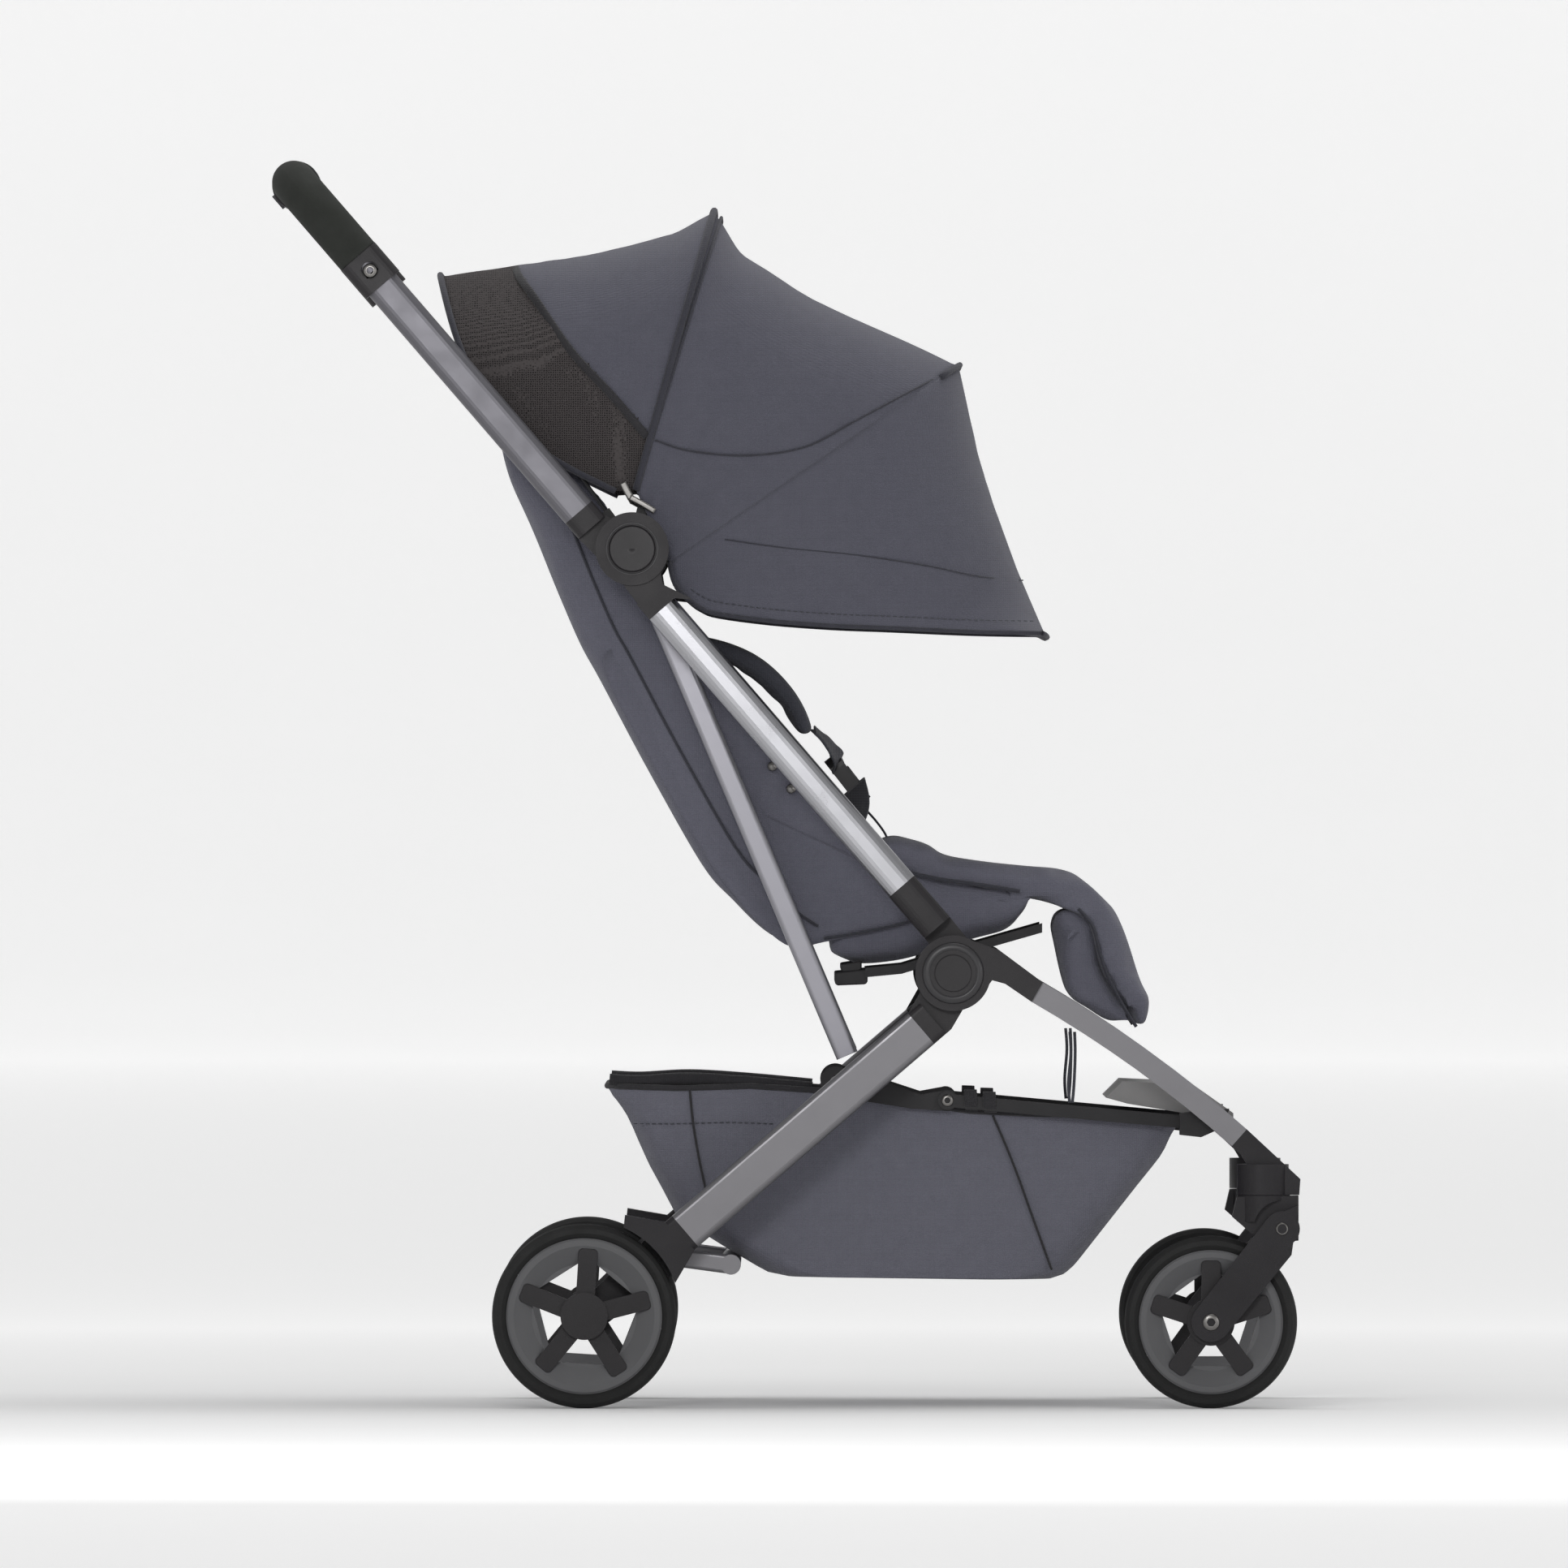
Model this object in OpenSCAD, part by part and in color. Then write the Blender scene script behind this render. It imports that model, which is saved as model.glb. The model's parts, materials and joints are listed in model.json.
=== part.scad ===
// Compact folding baby stroller: open frame with a folding handle, four wheels, seat, canopy and basket.
// +X is the direction of travel, +Y the rider's left, +Z up. The floor is z = 0.
// Side-view points are [x, z]. Sizes are millimetres and angles are degrees.

/* [Overall] */
// Width over the rear wheels
overall_w = 450; // [400:5:540]
// Distance between the rear and front axles, along x
wheelbase = 530; // [500:5:620]
// Rear axle behind the part's origin
rear_axle_back = 169; // [150:1:190]
// Height of the lower hinge above the floor
hinge_height = 368; // [350:2:420]
// Lower hinge ahead of the rear axle
hinge_ahead = 312; // [290:2:330]

/* [Wheels] */
// Rear wheel diameter
rear_wheel_d = 156; // [140:2:190]
// Front wheel diameter
front_wheel_d = 146; // [130:2:176]
// Width of every tyre
tyre_w = 26; // [20:1:32]
// Radial thickness of the tyre
tyre_t = 12; // [8:1:16]
// Reach of the rear spokes from the axle
rear_spoke_r = 57; // [48:1:60]
// Reach of the front spokes from the axle
front_spoke_r = 52; // [46:1:56]
// Width of a spoke
spoke_w = 16; // [10:0.5:20]
// Radius of the hub cap
hub_cap_r = 20; // [16:1:24]
// Wheel axle diameter
axle_d = 10; // [8:1:14]
// Caster trail, from the swivel axis back to the front axle
caster_trail = 44; // [34:1:50]

/* [Frame tubes] */
// Width of the frame tubes across the stroller
tube_w = 24; // [18:1:28]
// Side depth of the main tube
main_depth = 28; // [22:1:32]
// Side depth of the handle tube
handle_depth = 29.5; // [22:0.5:32]
// Side depth of the rear leg tube
rear_depth = 34; // [26:1:38]
// Side depth of the front leg tube
front_depth = 19; // [16:1:24]
// Wall of the tubes
tube_wall = 1.8; // [1.2:0.1:3]
// Slope of the handle and main tubes
main_angle = 49.2; // [44:0.2:54]
// Length of the main tube line between the two hinges
main_len = 449; // [400:2:520]
// Main tube centreline in front of the lower hinge
low_offset = 15; // [14:0.5:18]
// Main tube centreline behind the mid hinge
mid_offset = 14; // [13:0.5:18]
// Slope of the rear legs
rear_angle = 40.65; // [38:0.1:44]
// Rear leg centreline below the lower hinge
rear_offset = 18; // [17:0.5:22]
// How far the front leg tube bends down over its length
front_bend = 11.6; // [6:0.2:16]

/* [Handle] */
// Length of the handle from the mid hinge to the crossbar
handle_len = 423; // [360:2:480]
// Diameter of the grip
grip_d = 37; // [30:0.5:42]
// Diameter of the metal bar in the grip
core_d = 25; // [20:0.5:28]
// Bend radius of the handlebar corners
grip_bend = 48; // [36:1:70]
// Length of the grip's side arms, collar to crossbar
grip_arm = 84; // [70:1:130]
// Length of the collars
collar_len = 32; // [20:1:44]
// Width of the fold control housing on the crossbar
control_w = 84; // [60:2:110]

/* [Hinges] */
// Radius of the lower hinge disc
low_disc_r = 32; // [30:0.5:38]
// Radius of the mid hinge disc
mid_disc_r = 31; // [29:0.5:36]
// Diameter of the hinge pins
pin_d = 12; // [8:0.5:14]
// Running clearance of pins in bores, radial
run_gap = 0.05; // [0.02:0.01:0.1]
// Gap between hinge leaves
leaf_gap = 0.5; // [0.3:0.1:1]
// Clearance between soft parts and the frame
soft_gap = 1.5; // [0.5:0.1:3]

/* [Linkage] */
// Width across of the back struts
strut_w = 12; // [8:0.5:14]
// Side depth of the back struts
strut_depth = 19; // [14:0.5:22]
// Length of a back strut, hinge to foot
strut_len = 466; // [420:2:470]
// Slope of the back struts
strut_angle = 67; // [64:0.5:70]
// Length of the crank that carries the basket rail
crank_len = 95.8; // [80:0.2:110]
// Side height of the basket rails
rail_h = 11; // [8:0.5:14]

/* [Seat] */
// Width of the seat
seat_w = 294; // [240:2:300]
// Thickness of the backrest pad
back_t = 34; // [24:1:44]
// Depth of the backrest's side wings from its back
wing_t = 84; // [60:1:96]
// Width of each side wing
wing_w = 20; // [14:1:28]
// Width of the legrest
legrest_w = 262; // [200:2:270]
// Width of a harness pad
pad_w = 46; // [36:1:56]

/* [Canopy] */
// Outer width of the canopy fabric
canopy_w = 379; // [330:1:381]
// Thickness of the canopy fabric
canopy_t = 1.6; // [1:0.1:3]
// Thickness of the lined visor
visor_t = 2.6; // [1:0.1:4]
// Diameter of the canopy bows
bow_d = 5; // [4:0.5:7]
// Corner radius of the canopy across the stroller
canopy_corner = 92; // [50:2:120]

/* [Basket] */
// Outer width of the basket at its rim
basket_w = 300; // [240:2:300]
// Wall of the basket
basket_wall = 3; // [2:0.5:6]

/* [Hidden] */
$fn = 64;

metal = [0.40, 0.40, 0.41];
satin = [0.72, 0.72, 0.74];
plastic = [0.16, 0.155, 0.16];
foam = [0.15, 0.155, 0.145];
rubber = [0.15, 0.15, 0.15];
rim_grey = [0.36, 0.36, 0.375];
cloth = [0.31, 0.32, 0.36];
board = [0.48, 0.48, 0.48];

// Layers across the stroller, as [inner, outer] distances from the middle plane
out_y = overall_w / 2;
tube_y = [out_y - 29, out_y - 29 + tube_w];
tube_mid = (tube_y.x + tube_y.y) / 2;
leaf_t = 8.5;
main_leaf = [tube_y.x, tube_y.x + leaf_t];
rear_leaf = [main_leaf.y + leaf_gap, main_leaf.y + leaf_gap + leaf_t];
front_leaf = [rear_leaf.y + leaf_gap, out_y - 2];
low_cap = [front_leaf.y, out_y + 1];
handle_leaf = [tube_y.x, tube_y.x + 15];
mid_leaf = [handle_leaf.y + leaf_gap, out_y - 2];
front_bow_y = tube_y.x - 10.3;
mid_bow_y = front_bow_y - 4.5;
rear_bow_y = mid_bow_y - 4.5;
bow_hub_t = 3.5;
strut_y = [rear_bow_y - 4.7 - strut_w, rear_bow_y - 4.7];
crank_y = [151, 155];
rail_y = [crank_y.y + 0.5, strut_y.x - 0.5];
wheel_y = tube_mid + 2;

// Hinges and axles in the side view
rear_axle = [-rear_axle_back, rear_wheel_d / 2];
front_axle = [rear_axle.x + wheelbase, front_wheel_d / 2];
low_hinge = [rear_axle.x + hinge_ahead, hinge_height];
along = [cos(main_angle), -sin(main_angle)];
across = [sin(main_angle), cos(main_angle)];
line_low = low_hinge + low_offset * across;
line_top = line_low - main_len * along;
mid_hinge = line_top + mid_offset * across;
grip_centre = line_top - handle_len * along;
rear_along = [-cos(rear_angle), -sin(rear_angle)];
rear_down = [sin(rear_angle), -cos(rear_angle)];
rear_line = low_hinge + rear_offset * rear_down;
front_start = low_hinge + [71, -16];
front_end = front_axle + [24, 156];
front_radius = norm(front_end - front_start) / 2 / sin(front_bend / 2);
front_chord = (front_end - front_start) / norm(front_end - front_start);
front_centre = (front_start + front_end) / 2 - front_radius * cos(front_bend / 2) * [-front_chord.y,
    front_chord.x];
front_arc = [atan2(front_chord.x, -front_chord.y) + front_bend / 2, atan2(front_chord.x,
    -front_chord.y) - front_bend / 2];
crank_pivot = low_hinge + [-99, -92.6];
rail_front = low_hinge + [202, -127];
crank_rest = -9.4;
crank_end = crank_pivot + crank_len * [cos(crank_rest), sin(crank_rest)];
swivel_x = front_axle.x + caster_trail;
fork_pivot = front_axle + [60, 79];
legrest_pivot = low_hinge + [86, 57];
seat_stud = low_hinge + [6, 20];
cross_tube = rear_axle + [124, 43];
brake_pivot = rear_axle + [44, 46];
pin_r = pin_d / 2;

// ---- helpers ----

// Extrudes a side-view outline between two distances across the stroller
module slab(y) translate([0, y.y, 0]) rotate([90, 0, 0]) linear_extrude(y.y - y.x) children();
// Both sides of the stroller
module pair() { children(); mirror([0, 1, 0]) children(); }
// The chosen side: 1 for the left, -1 for the right
module side(s) mirror([0, s < 0 ? 1 : 0, 0]) children();
// A cylinder across the stroller at a side-view point
module across_rod(p, y, r) translate([p.x, y.y, p.y]) rotate([90, 0, 0]) cylinder(r = r, h = y.y - y.x);
// A ring profile turned about an axis across the stroller, its profile in [radius, y]
module turned(p) translate([p.x, 0, p.y]) rotate([-90, 0, 0]) rotate_extrude() children();
// Corner points of a rounded rectangle centred on the origin
function round_rect(w, h, r, n = 5) = [for (q = [0:3], i = [0:n])
    let (a = 90 * q + 90 * i / n, cx = (q == 0 || q == 3 ? 1 : -1) * (w / 2 - r),
        cy = (q < 2 ? 1 : -1) * (h / 2 - r)) [cx + r * cos(a), cy + r * sin(a)]];
// A straight run from p to q in the side view at distance y across; children are its section [across, up]
module run(p, q, y) {
    v = q - p;
    translate([p.x, y, p.y]) rotate([0, -atan2(v.y, v.x), 0]) rotate([90, 0, 90])
        linear_extrude(norm(v)) children();
}
module tube_section(w, h, r, wall) difference() {
    polygon(round_rect(w, h, r));
    polygon(round_rect(w - 2 * wall, h - 2 * wall, max(0.5, r - wall)));
}
// A point on the main or handle tube line, s from the lower end, offset t forward
function on_main(s, t = 0) = line_low - s * along + t * across;
function on_rear(s, t = 0) = rear_line + s * rear_along + t * rear_down;
// A point of the front leg at the share f of its arc, offset t outwards
function on_front(f, t = 0) = let (a = lerp(front_arc[0], front_arc[1],
    f)) front_centre + (front_radius + t) * [cos(a), sin(a)];
// Points of an arc about c
function arc(c, r, a0, a1, n = 10) = [for (i = [0:n]) let (a = a0 + (a1 - a0) * i / n) c + r * [cos(a),
    sin(a)]];
function lerp(a, b, t) = a + (b - a) * t;
function turn(v, a) = [v.x * cos(a) - v.y * sin(a), v.x * sin(a) + v.y * cos(a)];

// ---- rear frame ----

rear_tube_start = 51;
rear_tube_end = 314;
module rear_legs() color(metal) pair()
    run(on_rear(rear_tube_start), on_rear(rear_tube_end), tube_mid)
        tube_section(tube_w, rear_depth, 5, tube_wall);

// Plastic end of the rear leg: a leaf round the pin and a socket outside the tube's end
module rear_hinge_ends() color(plastic) pair() {
    difference() {
        union() {
            across_rod(low_hinge, rear_leaf, low_disc_r - 2);
            slab(rear_leaf) polygon([low_hinge, on_rear(26, -26), on_rear(rear_tube_start, -rear_depth / 2),
                on_rear(rear_tube_start, rear_depth / 2), on_rear(32, rear_depth / 2),
                    low_hinge + 24 * rear_down]);
        }
        across_rod(low_hinge, [rear_leaf.x - 1, rear_leaf.y + 1], pin_r + run_gap);
    }
    run(on_rear(rear_tube_start - 13), on_rear(rear_tube_start), tube_mid)
        polygon(round_rect(tube_w, rear_depth, 5));
}

// Foot of the rear leg: socket, arc over the tyre and an arm inboard of the wheel to the axle
foot_arm = [tube_y.x - 12, tube_y.x - 3];
foot_block = 24;
fender_r = rear_wheel_d / 2 + 4;
module rear_feet() color(plastic) pair() {
    difference() {
        union() {
            run(on_rear(rear_tube_end), on_rear(rear_tube_end + foot_block), tube_mid)
                polygon(round_rect(tube_w, rear_depth, 5));
            slab([foot_arm.x, tube_y.y]) polygon(concat(arc(rear_axle, fender_r, 20, 66, 12),
                [rear_axle + 92 * [cos(68), sin(68)], on_rear(rear_tube_end + 8, -rear_depth / 2),
                on_rear(rear_tube_end + 4, rear_depth / 2)]));
        }
        across_rod(rear_axle, [foot_arm.x - 1, out_y + 1], fender_r);
    }
    difference() {
        union() {
            across_rod(rear_axle, foot_arm, 17);
            slab(foot_arm) polygon([rear_axle + turn([0, 17], -10), rear_axle + turn([0, -17], 35),
                rear_axle + [84, 43], rear_axle + [58, 71]]);
        }
        across_rod(rear_axle, [foot_arm.x - 1, foot_arm.y + 1], axle_d / 2);
    }
}

// Cross tube between the feet, with a lower run under the basket's rear
module rear_cross_tube() color(metal) {
    across_rod(cross_tube, [-foot_arm.x, foot_arm.x], 8.5);
    pair() run(cross_tube + [0, 0], rear_axle + [72, 50], foot_arm.x - 5) polygon(round_rect(9.9, 16, 3));
}

// Hinge pins of the lower hinge, the crank pivots and the rear axles
module frame_pins() color(satin) pair() {
    across_rod(low_hinge, [main_leaf.x - 4, front_leaf.y - 3], pin_r);
    across_rod(low_hinge, [main_leaf.x - 7, main_leaf.x - 4], pin_r + 3);
    across_rod(crank_pivot, [crank_y.x - 1.3, tube_y.x], 5);
    across_rod(crank_pivot, [crank_y.x - 4, crank_y.x - 1.3], 8);
    across_rod(rear_axle, [foot_arm.x - 4, out_y - 9], axle_d / 2);
    across_rod(rear_axle, [foot_arm.x - 8, foot_arm.x - 4], axle_d / 2 + 3);
}

// Open basket: outline of its side, hollowed from above
basket_rim = [[-150, 271], [-80, 271], [24, 267], [79, 261], [155, 250], [300, 247], [336, 240]];
basket_base = [[336, 227], [322, 214], [240, 111], [229, 106], [24, 109], [-14, 113], [-91, 161], [-115,
    206],
    [-131, 242], [-146, 261]];
basket_inside = [[-142, 280], [-124, 243], [-108, 207], [-84, 165], [-12, 118], [24, 113], [227, 110],
    [236, 116], [316, 218], [328, 280]];
basket_half = basket_w / 2;
module basket() color(cloth) difference() {
    slab([-basket_half, basket_half]) polygon(concat(basket_rim, basket_base));
    slab([-basket_half + basket_wall, basket_half - basket_wall]) polygon(basket_inside);
}

// Foot pedal of the brake, inboard of the right rear foot
pedal_y = [-foot_arm.x + 1, -foot_arm.x + 33];
module brake_pedal() color(plastic) difference() {
    slab(pedal_y) polygon(concat(arc(brake_pivot, 11, -80, 100, 10),
        [brake_pivot + [-52, 22], brake_pivot + [-62, 17], brake_pivot + [-60, 6], brake_pivot + [-16,
            -7]]));
    across_rod(brake_pivot, [pedal_y.x - 1, pedal_y.y + 1], 4.05);
}

// ---- wheels ----

// Tyre: a rounded tread ring on the rim's seat
module tyre(c, d) color(rubber) turned(c) {
    r = d / 2;
    h = tyre_w / 2;
    polygon([[r - tyre_t, wheel_y - h + 3], [r - tyre_t, wheel_y + h - 3], [r - 8, wheel_y + h],
        [r - 4, wheel_y + h - 1], [r - 1, wheel_y + h - 5], [r, wheel_y + h - 9], [r, wheel_y - h + 9],
        [r - 1, wheel_y - h + 5], [r - 4, wheel_y - h + 1], [r - 8, wheel_y - h]]);
}
// Rim: a ring with a five-sided opening whose flats lie between the spokes
rim_t = 20;
rim_open = 0.61;
module spokes(c, reach, first,
    gap) for (k = [0:4]) translate(c) rotate(first + 72 * k) translate([reach / 2, 0])
    polygon(round_rect(reach + 2 * gap, spoke_w + 2 * gap, 4));
module rim(c, d, first, reach) color(rim_grey) difference() {
    union() {
        across_rod(c, [wheel_y - rim_t / 2, wheel_y + rim_t / 2], d / 2 - tyre_t - 0.1);
        across_rod(c, [wheel_y - tyre_w / 2 + 1, wheel_y + tyre_w / 2 - 1], d / 2 - tyre_t - 1.5);
    }
    turned(c) polygon([[0, wheel_y + tyre_w / 2], [d / 2 - tyre_t - 4, wheel_y + tyre_w / 2],
        [(d / 2 - tyre_t) * rim_open + 4, wheel_y + 6], [0, wheel_y + 6]]);
    slab([star_y.x - 0.1, star_y.y + 20]) spokes(c, reach, first, 0.3);
    slab([wheel_y - 20, wheel_y + 20]) polygon([for (k = [0:4]) let (a = first + 72 * k)
        c + (d / 2 - tyre_t) * rim_open / cos(36) * [cos(a), sin(a)]]);
}
// Star: five spokes with rounded ends and the hub cap, bored for the axle
star_y = [wheel_y + 6.2, wheel_y + 11];
module star(c, reach, first, hub_y, cap_y, bore_end) color(plastic) difference() {
    union() {
        slab(star_y) spokes(c, reach, first, 0);
        across_rod(c, cap_y, hub_cap_r);
        across_rod(c, hub_y, 13);
    }
    across_rod(c, [hub_y.x - 1, bore_end], axle_d / 2 + run_gap);
}
rear_first = 86.4;
front_first = 90;
rear_hub_y = [foot_arm.y + 0.5, wheel_y + 8];
rear_cap_y = [star_y.x, out_y];
front_hub_y = [wheel_y - tyre_w / 2 - 0.5, wheel_y + tyre_w / 2 + 0.5];
front_cap_y = [star_y.x, wheel_y + tyre_w / 2];
module rear_tyre() tyre(rear_axle, rear_wheel_d);
module front_tyre() tyre(front_axle, front_wheel_d);
module rear_rim() rim(rear_axle, rear_wheel_d, rear_first, rear_spoke_r);
module front_rim() rim(front_axle, front_wheel_d, front_first, front_spoke_r);
module rear_star() star(rear_axle, rear_spoke_r, rear_first, rear_hub_y, rear_cap_y, out_y - 8.5);
module front_star() star(front_axle, front_spoke_r, front_first, front_hub_y, front_cap_y, out_y + 1);

// ---- main frame ----

main_tube_start = 84;
main_tube_end = main_len - 55;
module main_tubes() color(satin) pair()
    run(on_main(main_tube_start), on_main(main_tube_end), tube_mid)
        tube_section(tube_w, main_depth, 10, tube_wall);

module main_hinge_ends() color(plastic) pair() {
    difference() {
        union() {
            across_rod(low_hinge, main_leaf, low_disc_r - 2);
            slab(main_leaf) polygon([low_hinge + 28 * turn(along, 90), on_main(40, main_depth / 2),
                on_main(40, -main_depth / 2), on_main(24, -main_depth / 2), low_hinge - 26 * across]);
        }
        across_rod(low_hinge, [main_leaf.x - 1, main_leaf.y + 1], pin_r + run_gap);
    }
    run(on_main(38), on_main(main_tube_start), tube_mid) polygon(round_rect(tube_w, main_depth, 9));
}

// Mid hinge housing: outer disc, socket of the main tube and the arm that holds the canopy's edge
module mid_hinge_housings() color(plastic) pair() {
    s = main_len;
    difference() {
        union() {
            across_rod(mid_hinge, mid_leaf, mid_disc_r);
            slab([mid_leaf.x, tube_y.y]) polygon([mid_hinge + 30 * turn(across, 140),
                on_main(main_tube_end, -main_depth / 2),
                on_main(main_tube_end, main_depth / 2), mid_hinge + [49, -43], mid_hinge + [46,
                    -48] + [4, 6],
                mid_hinge + [26, -30], mid_hinge + [24, -18]]);
        }
        across_rod(mid_hinge, [mid_leaf.x - 1, mid_leaf.x + 7], pin_r + run_gap);
        across_rod(mid_hinge, [mid_leaf.y - 3, mid_leaf.y + 1], mid_disc_r - 9);
    }
    run(on_main(main_tube_end), on_main(s - 38), tube_mid) polygon(round_rect(tube_w, main_depth, 9));
}
module mid_hinge_caps() color(plastic) pair() turned(mid_hinge)
    polygon([[0, mid_leaf.y - 2.9], [mid_disc_r - 9.2, mid_leaf.y - 2.9], [mid_disc_r - 9.2,
        mid_leaf.y - 1],
        [mid_disc_r - 11, mid_leaf.y - 1], [mid_disc_r - 12.5, mid_leaf.y + 0.6], [0, mid_leaf.y + 0.8]]);
module mid_hinge_pins() color(satin) pair() {
    across_rod(mid_hinge, [strut_y.x - 2, mid_leaf.x + 6.9], pin_r);
    across_rod(mid_hinge, [strut_y.x - 5, strut_y.x - 2], pin_r + 3);
}

// Rails under the seat and their studs to the main tube's hinge end
rail_bar = [low_hinge + [-74, 0], low_hinge + [-43, 3], low_hinge + [6, 18], low_hinge + [76, 38]];
module seat_rails() color(plastic) pair() {
    slab([seat_w / 2 - 12, seat_w / 2 - 4]) polygon(concat([for (p = rail_bar) p + [0, 4]],
        [for (i = [3:-1:0]) rail_bar[i] - [0, 4]]));
    across_rod(seat_stud, [seat_w / 2 - 5, main_leaf.x], 6);
}
seat_outline = [[207, 454], [134, 463], [86, 474], [60, 466], [40, 440], [33, 379], [43, 375.5], [69, 376],
    [100, 380], [124, 387.5], [162, 398], [196, 409]];
knee_r = 26;
module seat_cushion() color(cloth) slab([-seat_w / 2 + 2, seat_w / 2 - 2])
    polygon(concat([for (p = seat_outline) seat_point(p)], arc(legrest_pivot, knee_r + soft_gap, 205,
        112, 6)));

buckle_centre = low_hinge + [-89, 164];
buckle_tilt = -52;
buckle_t = 13;
module in_buckle() translate([buckle_centre.x, 0, buckle_centre.y]) rotate([0, -buckle_tilt, 0]) children();
module harness_buckle() color(plastic) in_buckle() difference() {
    translate([0, 0, -buckle_t / 2]) linear_extrude(buckle_t) polygon(round_rect(48, 46, 12));
    cylinder(r = 9.4, h = buckle_t);
}
module buckle_button() color(rim_grey) in_buckle() translate([0, 0, 4.2]) cylinder(r = 9, h = 3.4);

// ---- handle ----

handle_tube_start = main_len + 53;
handle_tube_end = main_len + handle_len - grip_arm - collar_len;
module handle_tubes() color(metal) pair()
    run(on_main(handle_tube_start), on_main(handle_tube_end + 4), tube_mid)
        tube_section(tube_w, handle_depth, 8, tube_wall);
module handle_hinge_ends() color(plastic) pair() {
    difference() {
        union() {
            across_rod(mid_hinge, handle_leaf, mid_disc_r - 2);
            slab(handle_leaf) polygon([mid_hinge + 27 * turn(across, 0) * 0.6, on_main(main_len + 38,
                handle_depth / 2),
                on_main(main_len + 38, -handle_depth / 2), on_main(main_len + 8, -handle_depth / 2 + 2)]);
        }
        across_rod(mid_hinge, [handle_leaf.x - 1, handle_leaf.y + 1], pin_r + run_gap);
    }
    run(on_main(main_len + 36), on_main(handle_tube_start), tube_mid) polygon(round_rect(tube_w,
        handle_depth, 8));
}
module handle_collars() color(plastic) pair() difference() {
    run(on_main(handle_tube_end), on_main(handle_tube_end + collar_len - 0.3), tube_mid)
        polygon(round_rect(tube_w + 6, grip_d + 0.6, 8));
    run(on_main(handle_tube_end - 1), on_main(handle_tube_end + 4.1), tube_mid)
        polygon(round_rect(tube_w + 0.2, handle_depth + 0.2, 8));
    across_rod(on_main(handle_tube_end + 16), [tube_mid + tube_w / 2 - 1, out_y + 2], 7.6);
    run(on_main(handle_tube_end + 12), on_main(handle_tube_end + collar_len),
        tube_mid) circle(r = core_d / 2 + 0.1);
}
// U-shaped bar in the handle's plane: local X across, local Z along the handle away from the hinge
module bar_u(r, hole, arm) {
    half = tube_mid - grip_bend;
    translate([grip_centre.x, 0, grip_centre.y]) rotate([0, 90 - (180 - main_angle), 0]) rotate([0, 0,
        90]) {
        translate([-half, 0, 0]) rotate([0, 90, 0]) ring(r, hole, 2 * half);
        for (m = [0, 1]) mirror([m, 0, 0]) {
            translate([half, 0, -grip_bend]) rotate([90, 0, 0])
                rotate_extrude(angle = 90) translate([grip_bend,
                    0]) difference() { circle(r = r); if (hole > 0) circle(r = hole); }
            translate([tube_mid, 0, -arm]) ring(r, hole, arm - grip_bend);
        }
    }
}
module ring(r, hole, h) difference() {
    cylinder(r = r, h = h);
    if (hole > 0) translate([0, 0, -1]) cylinder(r = hole, h = h + 2);
}
module handlebar_core() color(metal) bar_u(core_d / 2, core_d / 2 - tube_wall, grip_arm + 18);
module handle_grip() color(foam) difference() {
    bar_u(grip_d / 2, core_d / 2 + 0.1, grip_arm);
    translate([grip_centre.x - 60, -control_w / 2, grip_centre.y - 60]) cube([120, control_w, 120]);
}
// Fold control at the middle of the crossbar: sleeve with a slot for the slider and a gap for the trigger
module on_bar() translate([grip_centre.x, 0, grip_centre.y]) rotate([0, main_angle - 90, 0]) children();
sleeve_r = grip_d / 2 + 2;
slider_travel = 8;
slider_size = [16, 14];
module control_housing() color(plastic) on_bar() difference() {
    rotate([90, 0, 0]) translate([0, 0, -control_w / 2 + 0.2]) cylinder(r = sleeve_r, h = control_w - 0.4);
    rotate([90, 0, 0]) translate([0, 0, -control_w / 2]) cylinder(r = core_d / 2 + 0.1, h = control_w);
    translate([-sleeve_r - 1, -slider_size.x / 2 - slider_travel - 1, -slider_size.y / 2 - 0.5])
        cube([6, slider_size.x + 2 * slider_travel + 2, slider_size.y + 1]);
    translate([-13, -27, -sleeve_r - 1]) cube([26, 54, 7.4]);
}
module fold_slider() color(rim_grey) on_bar() translate([-sleeve_r - 1.5, -slider_size.x / 2,
    -slider_size.y / 2])
    cube([5.5, slider_size.x, slider_size.y]);
module fold_trigger() color(rim_grey) on_bar() slab([-26, 26])
    polygon([[12.4, -sleeve_r + 5.9], [-12, -sleeve_r + 1.5], [-12, -sleeve_r - 2.5], [12.4,
        -sleeve_r + 2]]);

// ---- front frame ----

module front_strip(y, t, over) slab(y) polygon(concat(
    [for (i = [-over:8 + over]) on_front(i / 8, t)], [for (i = [8 + over:-1:-over]) on_front(i / 8, -t)]));
module front_legs() color(metal) pair() difference() {
    front_strip(tube_y, front_depth / 2, 0);
    front_strip([tube_y.x + tube_wall, tube_y.y - tube_wall], front_depth / 2 - tube_wall, 1);
}
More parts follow.
